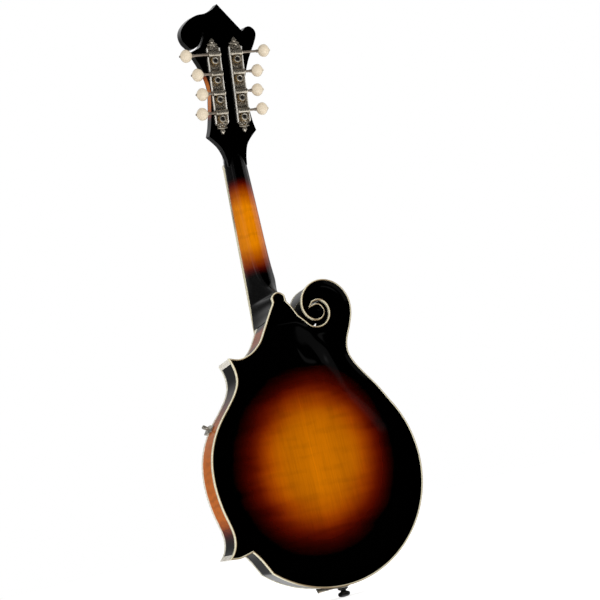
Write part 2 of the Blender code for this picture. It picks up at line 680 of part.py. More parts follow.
def build_post(name, side, s_gear):
    """String post with its gear: one turning piece, its axis square to the headstock."""
    def at(off, u, v):
        return head_at(side * POST_X + u, s_gear + v, off)

    post = turned([(-11.0, 0), (-11.0, 2.9), (-7.4, 2.9), (-6.4, 2.3), (-4.4, 2.3), (-3.4, 3.0),
                   (20.0, 3.0), (20.0, 0)], 8, at)
    post = make(name, *post, "nickel", False, at(WORM_OFF, 0, 0))
    low, high = [], []
    for k in range(TEETH):
        for share, radius in ((-0.24, GEAR_ROOT), (-0.11, GEAR_TIP), (0.11, GEAR_TIP), (0.24, GEAR_ROOT)):
            a = pi / 2 + 2 * pi * (k + 0.5 + share) / TEETH
            low.append(at(WORM_OFF - 1.8, radius * cos(a), radius * sin(a)))
            high.append(at(WORM_OFF + 1.8, radius * cos(a), radius * sin(a)))
    gear = make("gear", *loft([low, high]), "brass")
    combine(post, [gear], "UNION")


def build_button(name, side, s_gear, reach):
    s_axis = s_gear + WORM_OFFSET

    def at(a, u, v):
        return head_at(side * (POST_X + a), s_axis + u, WORM_OFF + v)

    r = reach
    profile = [(r + 3.4, 0), (r + 3.4, 1.8), (r - 6.4, 1.8), (r - 6.4, 3.0), (r - 4.4, 4.6), (r - 1.4, 6.7),
               (r + 1.6, 6.9), (r + 4.2, 5.4), (r + 5.8, 3.0), (r + 6.6, 1.6), (r + 7.6, 0.9), (r + 7.6, 0)]
    make(name, *turned(profile, 10, at), "ivoroid", True, at(0, 0, 0))


PLATE_EDGE = [(0.0, -16.4), (2.6, -15.2), (2.0, -12.8), (6.4, -10.6), (5.6, -8.8), (8.2, -6.6), (8.2, 12.0),
              (8.2, 36.0), (8.2, 60.0), (8.2, 85.6), (5.6, 88.0), (6.4, 89.8), (2.0, 92.0), (2.6, 94.4),
              (0.0, 95.6)]
FLANGE_H = 3.4               # side flanges of a machine plate, notched where the shafts cross
FLANGE_RUNS = [(-5.8, 5.0), (10.0, 28.2), (33.2, 51.4), (56.4, 74.6), (79.6, 84.8)]


def build_machine_plate(name, side):
    """Four-on-a-plate base with low lugs that carry the worm shafts."""
    base = POST_S[-1]
    edge = [(side * POST_X + x, base + s) for x, s in PLATE_EDGE]
    edge += [(side * POST_X - x, base + s) for x, s in PLATE_EDGE[-2:0:-1]]
    holes = [ring((side * POST_X, s), 3.4, 10) for s in POST_S]
    verts, faces = sheet_data(edge, holes, [], lambda x, s: HEAD_BACK + 0.2, lambda x, s: HEAD_BACK + 1.0,
                              head_at)
    plate = make(name, verts, faces, "nickel")
    lugs = []
    for s in POST_S:
        for near, far in ((-6.9, -5.0), (5.0, 6.9)):
            lug = box_data((side * POST_X + near, s + WORM_OFFSET - 2.6, HEAD_BACK + 0.6),
                           (side * POST_X + far, s + WORM_OFFSET + 2.6, WORM_OFF - 1.75), head_at)
            lugs.append(make("lug", *lug, "nickel"))
    for low, high in FLANGE_RUNS:
        for near, far in ((-8.1, -7.4), (7.4, 8.1)):
            wall = box_data((side * POST_X + near, base + low, HEAD_BACK + 0.6),
                            (side * POST_X + far, base + high, HEAD_BACK + 0.6 + FLANGE_H), head_at)
            lugs.append(make("lug", *wall, "nickel"))
    combine(plate, lugs, "UNION")


def build_machine_heads():
    for side, label in ((-1, "bass"), (1, "treble")):
        build_machine_plate("tuner_plate_" + label, side)
        for k, s in enumerate(POST_S):
            tag = label + "_" + str(k + 1)
            build_worm("worm_shaft_" + tag, side, s, BUTTON_REACH[k], pi)
            build_button("button_" + tag, side, s, BUTTON_REACH[k])
            build_post("string_post_" + tag, side, s)


# ---------------------------------------------------------------- bridge, tailpiece, fittings
SADDLE_TOP = BOARD_Y - (SCALE - NUT_S) * sin(NECK_PITCH) - 3.6
TOP_AT_BRIDGE = -SIDE - arch(0, BRIDGE_Z, TOP_ARCH)
WHEEL_X = 31.0


def build_bridge():
    base = []
    for x in (-58, -50, -38, -26, -12, 0, 12, 26, 38, 50, 58):
        foot = -SIDE - max(arch(x, BRIDGE_Z + e, TOP_ARCH) for e in (-6, 0, 6)) - 0.6
        tall = 3.2 + 3.4 * (1 - abs(x) / 58) if abs(x) < 56 else 2.6
        half = 5.5 if abs(x) < 50 else 4.4
        base.append([body(x, foot, BRIDGE_Z - half), body(x, foot, BRIDGE_Z + half),
                     body(x, foot - tall, BRIDGE_Z + half - 1.4), body(x, foot - tall, BRIDGE_Z - half + 1.4)])
    base = make("bridge_base", *loft(base), "ebony")
    posts = []
    for x in (-WHEEL_X, WHEEL_X):
        post = turned([(TOP_AT_BRIDGE - 0.5, 0), (TOP_AT_BRIDGE - 0.5, 1.6), (SADDLE_TOP + 3.4, 1.6),
                       (SADDLE_TOP + 3.4, 0)], 8, lambda a, u, v: body(x + u, a, BRIDGE_Z + v))
        posts.append(make("post", *post, "brass"))
    combine(base, posts, "UNION")

    wheel_y = TOP_AT_BRIDGE - 8.2
    for x, label in ((-WHEEL_X, "bass"), (WHEEL_X, "treble")):
        rim = ring((x, BRIDGE_Z), 5.2, 16)
        bore = ring((x, BRIDGE_Z), 1.95, 8)
        wheel = slab("thumbwheel_" + label, rim, wheel_y - 1.8, wheel_y, "brass", [bore])
        shift = body(x, wheel_y - 0.9, BRIDGE_Z) * MM
        wheel.data.transform(Matrix.Translation(-shift))
        wheel.location = shift

    low = wheel_y - 1.8 - GAP
    saddle = []
    for x, top, bottom in ((-38, low - 3.6, low), (-32, low - 4.6, low), (-24, SADDLE_TOP + 0.9, low - 0.4),
                           (-12, SADDLE_TOP + 0.3, low - 1.4), (0, SADDLE_TOP, low - 1.9),
                           (12, SADDLE_TOP + 0.3, low - 1.4), (24, SADDLE_TOP + 0.9, low - 0.4),
                           (32, low - 4.6, low), (38, low - 3.6, low)):
        saddle.append([body(x, bottom, BRIDGE_Z - 4), body(x, bottom, BRIDGE_Z + 4),
                       body(x, top, BRIDGE_Z + 1.6), body(x, top, BRIDGE_Z - 1.6)])
    saddle = make("bridge_saddle", *loft(saddle), "ebony")
    cutters = []
    for x in (-WHEEL_X, WHEEL_X):
        hole = turned([(low + 3, 0), (low + 3, 2.0), (low - 12, 2.0), (low - 12, 0)], 8,
                      lambda a, u, v: body(x + u, a, BRIDGE_Z + v))
        cutters.append(make("cutter", *hole, "nickel"))
    combine(saddle, cutters, "DIFFERENCE")


def profile_solid(profile, half0, half1):
    """Solid of a closed (y, z) profile between two widths."""
    return loft([[body(half0, y, z) for y, z in profile], [body(half1, y, z) for y, z in profile]])


def build_tailpiece():
    base = [(10.0, -0.5), (10.0, -1.7), (-30.0, -1.7), (-33.4, 2.0), (-36.4, 52.0), (-38.8, 53.0),
            (-38.8, 54.2), (-35.4, 53.4), (-32.2, 2.6), (-29.4, -0.5)]
    piece = make("tailpiece_base", *profile_solid(base, -15.4, 15.4), "nickel")
    hole = turned([(-6, 0), (-6, 4.4), (3, 4.4), (3, 0)], 12, lambda a, u, v: body(u, v, a))
    cutters = [make("cutter", *hole, "nickel")]
    corner = [(-12.0, -4.0), (12.0, -4.0), (12.0, 1.5), (-12.0, 1.5)]
    for low, high in ((-20.0, -7.5), (7.5, 20.0)):
        cutters.append(make("cutter", *profile_solid(corner, low, high), "nickel"))
    combine(piece, cutters, "DIFFERENCE")

    shell = []
    for z, y, half in ((-3.6, -35.4, 18.6), (0.0, -36.4, 20.0), (12.0, -38.6, 20.6), (30.0, -40.6, 20.0),
                       (48.0, -42.2, 18.4), (64.0, -43.2, 15.0)):
        rise = 0.9
        shell.append([body(-half, y + 5.2, z), body(-half, y + 0.6, z), body(-half * 0.6, y - 0.9, z),
                      body(0, y - 1.4, z), body(half * 0.6, y - 0.9, z), body(half, y + 0.6, z),
                      body(half, y + 5.2, z), body(half - rise, y + 5.2, z), body(half - rise, y + 1.2, z),
                      body(half * 0.6, y, z), body(0, y - 0.5, z), body(-half * 0.6, y, z),
                      body(-half + rise, y + 1.2, z), body(-half + rise, y + 5.2, z)])
    make("tailpiece_cover", *loft(shell), "nickel")


def build_fittings():
    pin = [(-PIN, 0), (-PIN, 4.4), (-PIN + 1.2, 6.6), (-PIN + 3.4, 7.1), (-PIN + 5.2, 6.4), (-PIN + 6.2, 3.2),
           (-5.2, 3.0), (-4.2, 5.6), (-2.0, 6.0), (-2.0, 4.0), (20.0, 3.4), (20.0, 0)]
    make("end_pin", *turned(pin, 14, lambda a, u, v: body(u, v, a)), "black_plastic", True)

    guard = [(22.5, 286.0), (31.0, 287.0), (38.0, 279.0), (43.0, 262.0), (52.0, 246.0), (60.0, 232.0),
             (62.0, 214.0), (57.0, 196.0), (47.0, 182.0), (37.0, 176.0), (31.5, 180.0), (27.0, 196.0),
             (24.5, 220.0), (23.2, 250.0)]
    slab("pickguard", guard, -41.0, -39.4, "black_plastic")

    # strap from the pickguard over the edge to a foot on the side: place, width direction, half width
    foot = (105.1, 204.8)
    out = (0.802, 0.598)
    up = Vector((0, 0, 1))
    along = Vector((-out[1], 0, out[0]))
    stops = [(53.0, 203.0, -38.2, up, 3.0), (97.0, 204.0, -37.6, up, 3.0),
             (104.6, 204.8, -34.8, (up + along).normalized(), 4.0)]
    stops += [(foot[0] + out[0] * a, foot[1] + out[1] * a, y, along, half) for a, y, half in
              ((2.5, -29.5, 5.0), (2.5, -17.0, 5.0), (0.9, -14.5, 4.4), (0.9, -8.0, 4.0))]
    rings = []
    for k, (x, z, y, wide, half) in enumerate(stops):
        before = stops[max(0, k - 1)]
        after = stops[min(len(stops) - 1, k + 1)]
        run = Vector((after[0] - before[0], after[2] - before[2], after[1] - before[1]))
        thick = run.cross(wide).normalized() * 0.8
        centre = body(x, y, z)
        rings.append([centre + thick - wide * half, centre + thick + wide * half,
                      centre - thick + wide * half, centre - thick - wide * half])
    make("pickguard_bracket", *loft(rings), "nickel")


def build_strings():
    names = ("g_1", "g_2", "d_1", "d_2", "a_1", "a_2", "e_1", "e_2")
    posts = [(-1, 3), (-1, 2), (-1, 1), (-1, 0), (1, 0), (1, 1), (1, 2), (1, 3)]
    for k, name in enumerate(names):
        r = STRING_R[k]
        side, row = posts[k]
        xb, xn = STRING_X_BRIDGE[k], STRING_X_NUT[k]
        lift = abs(xb) * 0.03
        hook = body(xb * 0.62, -38.6 - r, 56.0)
        saddle = body(xb, SADDLE_TOP - GAP - r + lift - 0.3, BRIDGE_Z)
        nut = neck_at(xn, NUT_S, -1.6 - GAP - r)
        post = head_at(side * POST_X, POST_S[row], -5.4)
        inner = Vector((-side, 0, 0)) * (2.3 + GAP + r)
        end = post + inner - (post - nut).normalized() * 0.2
        after = neck_at(xn, NUT_S + 2.2, -1.6 - GAP - r)
        points = [hook, saddle, nut, after, end]
        rings = []
        for p in points:
            up = Vector((0, -1, 0))
            rings.append([p + (Vector((1, 0, 0)) * cos(a) + up * sin(a)) * r
                          for a in [2 * pi * j / 6 for j in range(6)]])
        make("string_" + name, *loft(rings), "bronze" if k < 4 else "steel", True)


def main():
    for obj in list(bpy.data.objects):
        bpy.data.objects.remove(obj)
    build_plates()
    build_frame()
    build_neck()
    build_machine_heads()
    build_bridge()
    build_tailpiece()
    build_fittings()
    build_strings()


main()
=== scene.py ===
"""Looks of the F-style mandolin: fine pieces, finishes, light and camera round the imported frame.

Sizes are in millimetres.  +Z runs up the body and neck, the strings face -Y, the treble side
is +X.  Heights z are counted from the tail of the body, s from the neck joint or from the nut.
"""
import bpy
import bmesh
import numpy as np
from math import sin, cos, tan, pi, radians, hypot, exp
from mathutils import Matrix, Vector
from mathutils.geometry import delaunay_2d_cdt


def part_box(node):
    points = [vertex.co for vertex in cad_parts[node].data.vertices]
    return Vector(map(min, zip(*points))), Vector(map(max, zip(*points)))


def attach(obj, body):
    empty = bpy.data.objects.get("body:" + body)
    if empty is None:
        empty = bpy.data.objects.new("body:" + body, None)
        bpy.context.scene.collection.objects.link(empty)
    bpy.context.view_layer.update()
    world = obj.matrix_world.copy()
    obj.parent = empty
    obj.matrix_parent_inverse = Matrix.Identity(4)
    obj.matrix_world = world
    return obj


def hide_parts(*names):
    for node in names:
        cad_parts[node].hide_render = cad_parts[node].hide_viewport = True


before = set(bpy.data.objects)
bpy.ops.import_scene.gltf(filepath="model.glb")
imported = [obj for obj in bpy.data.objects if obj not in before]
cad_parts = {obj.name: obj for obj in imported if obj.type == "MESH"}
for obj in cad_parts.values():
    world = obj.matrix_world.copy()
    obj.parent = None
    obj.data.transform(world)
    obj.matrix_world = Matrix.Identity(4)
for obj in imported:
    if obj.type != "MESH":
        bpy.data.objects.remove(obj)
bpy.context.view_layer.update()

MM = 0.001
# body: length of the end pin, half depth of the sides, then edges, bindings and arches
PIN = 12.5
SIDE = 22.5
EDGE = 4.0
BOUT_R = 126.4
BIND = 2.2
BACK_BIND = 1.8
OVERHANG = 1.2
RIM_T = 2.4
GAP = 0.3
BACK_ARCH = 14.0
TOP_ARCH = 14.5
# neck, board and head: the neck joint's height, the scale, then tilts, widths and depths
TOP_Z = 313.0
SCALE = 352.4
NUT_S = 204.2
NECK_PITCH = radians(4.9)
HEAD_PITCH = radians(18.1)
BOARD_Y = -38.5
BOARD_T = 6.0
NUT_HALF = 14.3
JOINT_HALF = 18.4
HEAD_FRONT = 2.8
VENEER_T = 1.8
HEAD_BACK = 16.2
# string posts up the head, each key's reach, then worms and gears
POST_X = 14.2
POST_S = (129.5, 106.3, 83.1, 59.9)
BUTTON_REACH = (35.6, 24.0, 21.2, 24.4)
WORM_OFFSET = 7.5
WORM_OFF = 20.4
TEETH = 14
WORM_PITCH = 2 * pi * (WORM_OFFSET - 2.55) / TEETH
POST_WAIST = 2.3
WIND_OFF = -5.4
# strings, in pairs from bass to treble
BRIDGE_Z = TOP_Z - (SCALE - NUT_S) * cos(NECK_PITCH)
STRING_X_NUT = (-11.5, -9.2, -4.6, -2.3, 2.3, 4.6, 9.2, 11.5)
STRING_X_BRIDGE = (-19.8, -17.2, -8.0, -5.4, 5.4, 8.0, 17.2, 19.8)
STRING_R = (0.5, 0.5, 0.33, 0.33, 0.21, 0.21, 0.2, 0.2)
SADDLE_TOP = BOARD_Y - (SCALE - NUT_S) * sin(NECK_PITCH) - 3.6
WHEEL_X = 31.0
TAIL_SPREAD = 0.62
TAIL_HOOK_Y = -38.6

# outline of the body from the front, the same control points as the CAD
LOWER_POINT = (129.0, 58.8)
LOWER_NOTCH = (101.5, 60.5)
UPPER_POINT = (78.5, 277.2)
TREBLE_SHOULDER = (21.5, TOP_Z)
BASS_SHOULDER = (-18.0, TOP_Z)
UNDER_POINT = [LOWER_POINT, (118.0, 57.2), (110.0, 58.4), LOWER_NOTCH]
TREBLE_BOUT = [UPPER_POINT, (75.4, 268.0), (73.8, 257.5), (75.2, 247.0), (81.0, 236.0), (91.0, 223.5),
               (102.0, 211.0), (110.2, 200.0), (116.8, 188.5), (121.6, 177.0), (124.8, 165.5),
               (126.6, 153.0), (127.1, 140.0), (126.3, 126.0), (124.0, 110.5), (121.0, 98.0),
               (118.8, 87.5), (118.4, 79.0), (120.2, 70.5), (124.0, 63.8), LOWER_POINT]
TREBLE_CUTAWAY = [TREBLE_SHOULDER, (28.0, 302.5), (36.0, 290.0), (46.0, 280.8), (56.0, 275.8),
                  (66.5, 274.0), UPPER_POINT]
WAIST_AND_SCROLL = [(-95.5, 214.0), (-83.0, 232.0), (-74.0, 246.5), (-69.8, 259.5), (-72.2, 273.5),
                    (-80.0, 289.5), (-86.3, 305.5), (-87.6, 321.0), (-83.0, 335.0), (-73.2, 345.8),
                    (-60.0, 351.0), (-47.0, 350.2), (-36.2, 344.5), (-28.2, 334.5), (-25.2, 321.5),
                    (-28.4, 310.6), (-36.4, 303.8), (-44.4, 303.0), (-50.8, 307.6), (-52.7, 314.4),
                    (-49.0, 321.5), (-42.6, 323.2)]
SLIT_END = [(-36.6, 321.2), (-39.6, 325.0)]
SLIT_WALL = [(-44.0, 326.6), (-50.0, 326.2), (-55.4, 321.8), (-57.9, 314.4), (-56.4, 305.8), (-50.0, 298.4),
             (-41.0, 295.6), (-32.0, 298.0), (-25.0, 305.6), BASS_SHOULDER]
HEEL_BUTTON = [BASS_SHOULDER, (-12.0, 325.5), (-7.2, 332.5), (-7.6, 338.0), (-4.0, 342.4), (1.0, 344.0),
               (6.0, 342.4), (9.6, 338.0), (9.2, 332.5), (14.0, 325.0), TREBLE_SHOULDER]
HEAD_TREBLE = [(12.4, 1.5), (13.2, 12.0), (18.4, 24.6), (25.0, 32.8), (32.2, 39.8)]
HEAD_TREBLE_EDGE = [(32.2, 39.8), (28.8, 51.0), (26.2, 66.0), (24.4, 81.0), (23.2, 94.5), (25.6, 108.5),
                    (31.2, 122.5), (36.8, 133.5), (40.6, 141.8)]
HEAD_SLOT = [(36.2, 143.8), (29.8, 147.0), (25.2, 154.4), (22.8, 161.8), (23.6, 163.8), (24.9, 161.2),
             (27.3, 154.4), (31.6, 148.6), (37.6, 145.3)]
HEAD_CURL = [(42.6, 145.6), (49.2, 153.0), (51.8, 162.0), (49.2, 170.4), (40.6, 179.0), (29.5, 184.6),
             (18.0, 186.4), (8.5, 190.6), (1.5, 196.6)]
HEAD_TIP_EDGE = [(1.5, 196.6), (-27.0, 162.6)]
HEAD_BASS_EDGE = [(-27.0, 162.6), (-32.0, 167.2), (-37.8, 167.6), (-43.0, 163.0), (-44.0, 156.5),
                  (-40.4, 147.2), (-35.4, 137.6), (-29.4, 125.0), (-24.2, 108.6), (-22.6, 94.5),
                  (-23.6, 73.5), (-26.2, 55.0), (-29.6, 42.6)]
HEAD_BASS = [(-29.6, 42.6), (-21.8, 34.6), (-15.8, 26.0), (-12.8, 13.0), (-12.2, 1.5)]
F_PATH = [(47.0, 191.0), (47.5, 198.5), (53.0, 203.0), (59.5, 199.0), (62.6, 187.0), (64.2, 168.0),
          (66.2, 149.0), (70.0, 136.5), (77.0, 132.0), (83.0, 136.0), (83.8, 143.0)]
F_WIDTH = (1.6, 1.5, 1.6, 2.2, 2.9, 3.3, 2.9, 2.2, 1.6, 1.5, 1.6)
F_UPPER_EYE = 5.0
F_LOWER_EYE = 5.6


# ---------------------------------------------------------------- curves
def spline(points, step):
    """Smooth curve through the points, sampled about every step mm; the last point is left out."""
    pts = [Vector(p) for p in points]
    ends = [pts[0] * 2 - pts[1]] + pts + [pts[-1] * 2 - pts[-2]]
    out = []
    for i in range(1, len(ends) - 2):
        p0, p1, p2, p3 = ends[i - 1:i + 3]
        count = max(1, round((p2 - p1).length / step))
        for k in range(count):
            t = k / count
            q = 2 * p1 + (p2 - p0) * t + (2 * p0 - 5 * p1 + 4 * p2 - p3) * t * t
            q = (q + (3 * p1 - p0 - 3 * p2 + p3) * t ** 3) * 0.5
            out.append(tuple(q))
    return out


def arc(centre, radius, start, end, step):
    """Points on a circle from start to end degrees; the last point is left out."""
    count = max(2, round(abs(radians(end - start)) * radius / step))
    turn = radians(end - start) / count
    first = radians(start)
    return [(centre[0] + radius * cos(first + turn * k), centre[1] + radius * sin(first + turn * k))
            for k in range(count)]


def ring(centre, radius, sides):
    return [(centre[0] + radius * cos(2 * pi * k / sides), centre[1] + radius * sin(2 * pi * k / sides))
            for k in range(sides)]


def body_outline(step, with_button):
    """Outline of the body; the back's also has the heel button, and a wider scroll line."""
    line = arc((0, BOUT_R), BOUT_R, -48, -213, step)
    out = spline([LOWER_NOTCH, (94.0, 50.2)] + line[:1], step) + line
    scroll, wall = list(WAIST_AND_SCROLL), list(SLIT_WALL)
    if not with_button:
        scroll[-4:-2] = [(-54.5, 305.0), (-56.2, 313.8)]
        wall[3:5] = [(-57.3, 314.0), (-55.7, 304.4)]
    out += spline([line[-1]] + scroll, step)[1:] + [scroll[-1]] + SLIT_END
    out += spline(wall, step)
    out += spline(HEEL_BUTTON, step) if with_button else [BASS_SHOULDER]
    return out + spline(TREBLE_CUTAWAY, step) + spline(TREBLE_BOUT, step) + spline(UNDER_POINT, step)


def head_outline(step):
    out = spline(HEAD_TREBLE, step) + spline(HEAD_TREBLE_EDGE, step) + [HEAD_TREBLE_EDGE[-1]]
    out += spline(HEAD_SLOT, step) + [HEAD_SLOT[-1]] + spline(HEAD_CURL, step)
    out += spline(HEAD_TIP_EDGE, step * 3)
    return out + spline(HEAD_BASS_EDGE, step) + spline(HEAD_BASS, step) + [HEAD_BASS[-1]]


def steady(stops, t):
    """Smooth value at t through (t, value) stops, without overshoot."""
    if t <= stops[0][0]:
        return stops[0][1]
    for i in range(len(stops) - 1):
        (t0, v0), (t1, v1) = stops[i], stops[i + 1]
        if t <= t1:
            run = t1 - t0
            here = (v1 - v0) / run
            before = (v0 - stops[i - 1][1]) / (t0 - stops[i - 1][0]) if i else here
            last = i + 2 >= len(stops)
            after = here if last else (stops[i + 2][1] - v1) / (stops[i + 2][0] - t1)
            m0 = 0.0 if before * here <= 0 else 2 * before * here / (before + here)
            m1 = 0.0 if after * here <= 0 else 2 * after * here / (after + here)
            u = (t - t0) / run
            return ((2 * u ** 3 - 3 * u * u + 1) * v0 + (u ** 3 - 2 * u * u + u) * run * m0
                    + (3 * u * u - 2 * u ** 3) * v1 + (u ** 3 - u * u) * run * m1)
    return stops[-1][1]


def edge_distance(points, loop):
    """Distance from each point to a closed loop."""
    a = np.asarray(loop, float)
    b = np.roll(a, -1, axis=0)
    ab = b - a
    length = np.maximum((ab * ab).sum(1), 1e-12)
    out = []
    for part in np.array_split(np.asarray(points, float), max(1, len(points) // 400)):
        p = part[:, None, :]
        t = ((p - a) * ab).sum(2) / length
        near = a + ab * np.clip(t, 0, 1)[:, :, None]
        out.append(np.sqrt(((p - near) ** 2).sum(2)).min(1))
    return np.concatenate(out)


def inside(points, loop):
    """Whether each point is inside a closed loop."""
    p = np.asarray(points, float)
    a = np.asarray(loop, float)
    b = np.roll(a, -1, axis=0)
    x, z = p[:, 0:1], p[:, 1:2]
    spans = (a[:, 1] > z) != (b[:, 1] > z)
    rise = np.where(b[:, 1] == a[:, 1], 1e-12, b[:, 1] - a[:, 1])
    cross = x < (b[:, 0] - a[:, 0]) * (z - a[:, 1]) / rise + a[:, 0]
    return (spans & cross).sum(1) % 2 == 1


def offset(loop, depth):
    """Each point of the loop moved inwards by depth along its mitre."""
    a = np.asarray(loop, float)
    area = (a[:, 0] * np.roll(a[:, 1], -1) - a[:, 1] * np.roll(a[:, 0], -1)).sum()
    side = 1.0 if area > 0 else -1.0
    out = []
    for i in range(len(a)):
        before = a[i] - a[i - 1]
        after = a[(i + 1) % len(a)] - a[i]
        before = before / hypot(*before)
        after = after / hypot(*after)
        n0 = np.array([-before[1], before[0]]) * side
        n1 = np.array([-after[1], after[0]]) * side
        mid = n0 + n1
        mid = mid / hypot(*mid)
        out.append(a[i] + mid * depth / max(0.3, mid @ n0))
    return np.array(out)


def inset(loop, depth):
    """The offset loop without the points that come too near the loop."""
    out = offset(loop, depth)
    keep = (edge_distance(out, loop) > depth * 0.97) & inside(out, loop)
    return [tuple(q) for q in out[keep]]


# ---------------------------------------------------------------- frames
def body(x, y, z):
    return Vector((x, y, z + PIN))


def on_body(x, z, y):
    return body(x, y, z)


def neck_at(x, s, off):
    y = BOARD_Y + s * sin(NECK_PITCH) + off * cos(NECK_PITCH)
    z = TOP_Z + s * cos(NECK_PITCH) - off * sin(NECK_PITCH)
    return body(x, y, z)


def head_at(x, s, off):
    y = s * sin(HEAD_PITCH) + off * cos(HEAD_PITCH)
    z = s * cos(HEAD_PITCH) - off * sin(HEAD_PITCH)
    return neck_at(x, NUT_S, 0) + Vector((0, y, z))


# ---------------------------------------------------------------- solids
def sheet_data(outer, holes, extra, low, high, place=on_body):
    """Closed solid over a flat outline with holes, between two height functions."""
    loops = [outer] + holes
    coords = []
    edges = []
    for loop in loops:
        first = len(coords)
        coords += [Vector(p) for p in loop]
        edges += [(first + k, first + (k + 1) % len(loop)) for k in range(len(loop))]
    coords += [Vector(p) for p in extra]
    verts, _, tris = delaunay_2d_cdt(coords, edges, [], 0, 1e-5)[:3]
    flat = np.array([(v[0], v[1]) for v in verts])
    centres = np.array([flat[list(t)].mean(0) for t in tris])
    keep = inside(centres, outer)
    for hole in holes:
        keep &= ~inside(centres, hole)
    tris = [list(t) for t, k in zip(tris, keep) if k]
    used = sorted({v for t in tris for v in t})
    index = {v: k for k, v in enumerate(used)}
    tris = [[index[v] for v in t] for t in tris]
    count = len(used)
    bottom = [place(a, b, low(a, b)) for a, b in flat[used]]
    top = [place(a, b, high(a, b)) for a, b in flat[used]]
    sides = {}
    for t in tris:
        for k in range(3):
            a, b = t[k], t[(k + 1) % 3]
            if (b, a) in sides:
                del sides[(b, a)]
            else:
                sides[(a, b)] = True
    faces = [t[::-1] for t in tris] + [[v + count for v in t] for t in tris]
    faces += [[a, b, b + count, a + count] for a, b in sides]
    return bottom + top, faces


def flat_data(outer, holes, low, high, place=on_body):
    return sheet_data(outer, holes, [], lambda a, b: low, lambda a, b: high, place)


def loft(rings):
    """Points and faces of a closed solid through rings of equal length."""
    n = len(rings[0])
    verts = [p for r in rings for p in r]
    faces = [list(range(n))[::-1], [len(verts) - n + k for k in range(n)]]
    for i in range(len(rings) - 1):
        for k in range(n):
            a, b = i * n + k, i * n + (k + 1) % n
            faces.append([a, b, b + n, a + n])
    return verts, faces


def turned(profile, sides, place):
    """Closed turned solid: profile of (along, radius), first and last on the axis."""
    verts = [place(profile[0][0], 0, 0)]
    for along, radius in profile[1:-1]:
        for k in range(sides):
            a = 2 * pi * k / sides
            verts.append(place(along, radius * cos(a), radius * sin(a)))
    verts.append(place(profile[-1][0], 0, 0))
    rows = len(profile) - 2
    last = len(verts) - 1
    faces = []
    for k in range(sides):
        n = (k + 1) % sides
        faces.append([0, 1 + k, 1 + n])
        for i in range(rows - 1):
            a = 1 + i * sides
            faces.append([a + k, a + k + sides, a + n + sides, a + n])
        faces.append([last, last - sides + n, last - sides + k])
    return verts, faces


def hoop(profile, sides, place):
    """Ring-shaped turned solid: closed profile of (along, radius) off the axis."""
    verts = []
    for k in range(sides):
        a = 2 * pi * k / sides
        verts += [place(along, radius * cos(a), radius * sin(a)) for along, radius in profile]
    n = len(profile)
    faces = []
    for k in range(sides):
        for i in range(n):
            a, b = k * n + i, k * n + (i + 1) % n
            c, d = ((k + 1) % sides) * n + i, ((k + 1) % sides) * n + (i + 1) % n
            faces.append([a, c, d, b])
    return verts, faces


def tube(path, radius, sides):
    """Round bar along a path of points."""
    pts = [Vector(p) for p in path]
    side = Vector((1, 0, 0))
    rings = []
    for i, p in enumerate(pts):
        run = (pts[min(i + 1, len(pts) - 1)] - pts[max(i - 1, 0)]).normalized()
        if i == 0:
            side = run.orthogonal().normalized()
        side = (side - run * side.dot(run)).normalized()
        up = run.cross(side)
        rings.append([p + side * a + up * b for a, b in ring((0, 0), radius, sides)])
    return loft(rings)


def pearl(centre, size, place, sides=10, rows=4):
    """Small raised dome: an ellipsoid half sunk in its base."""
    profile = [(-0.3, 0), (-0.3, 1.0)]
    profile += [(sin(pi / 2 * k / rows), cos(pi / 2 * k / rows)) for k in range(1, rows)] + [(1.0, 0)]
    cx, cs, base = centre
    wide, tall, high = size
    return turned(profile, sides, lambda a, u, v: place(cx + u * wide, cs + v * tall, base + a * high))


class Shape:
    """Several closed solids gathered in one mesh."""

    def __init__(self):
        self.verts = []
        self.faces = []

    def add(self, data):
        verts, faces = data
        first = len(self.verts)
        self.verts += [Vector(v) for v in verts]
        self.faces += [[v + first for v in f] for f in faces]
        return self


def piece(name, data, finish, stands_for=(), slot=None, on="body", crease=40, bevel=0.0, segments=2):
    """One visible piece in its finish, on a CAD body, in place of the CAD nodes it stands for.

    crease is the angle in degrees above which an edge stays sharp, and bevel its rounding in mm.
    """
    verts, faces = (data.verts, data.faces) if isinstance(data, Shape) else data
    mesh = bpy.data.meshes.new(name)
    mesh.from_pydata([Vector(v) * MM for v in verts], [], faces)
    bm = bmesh.new()
    bm.from_mesh(mesh)
    bmesh.ops.remove_doubles(bm, verts=bm.verts, dist=0.004 * MM)
    bmesh.ops.recalc_face_normals(bm, faces=bm.faces)
    bm.to_mesh(mesh)
    bm.free()
    mesh.materials.append(finish)
    mesh.shade_smooth()
    mesh.set_sharp_from_angle(angle=radians(crease))
    obj = bpy.data.objects.new(name, mesh)
    bpy.context.scene.collection.objects.link(obj)
    if bevel:
        mod = obj.modifiers.new("rounded", "BEVEL")
        mod.width = bevel * MM
        mod.segments = segments
        mod.limit_method = "ANGLE"
        mod.angle_limit = radians(max(crease, 30))
    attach(obj, on)
    if stands_for:
        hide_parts(*stands_for)
    return obj


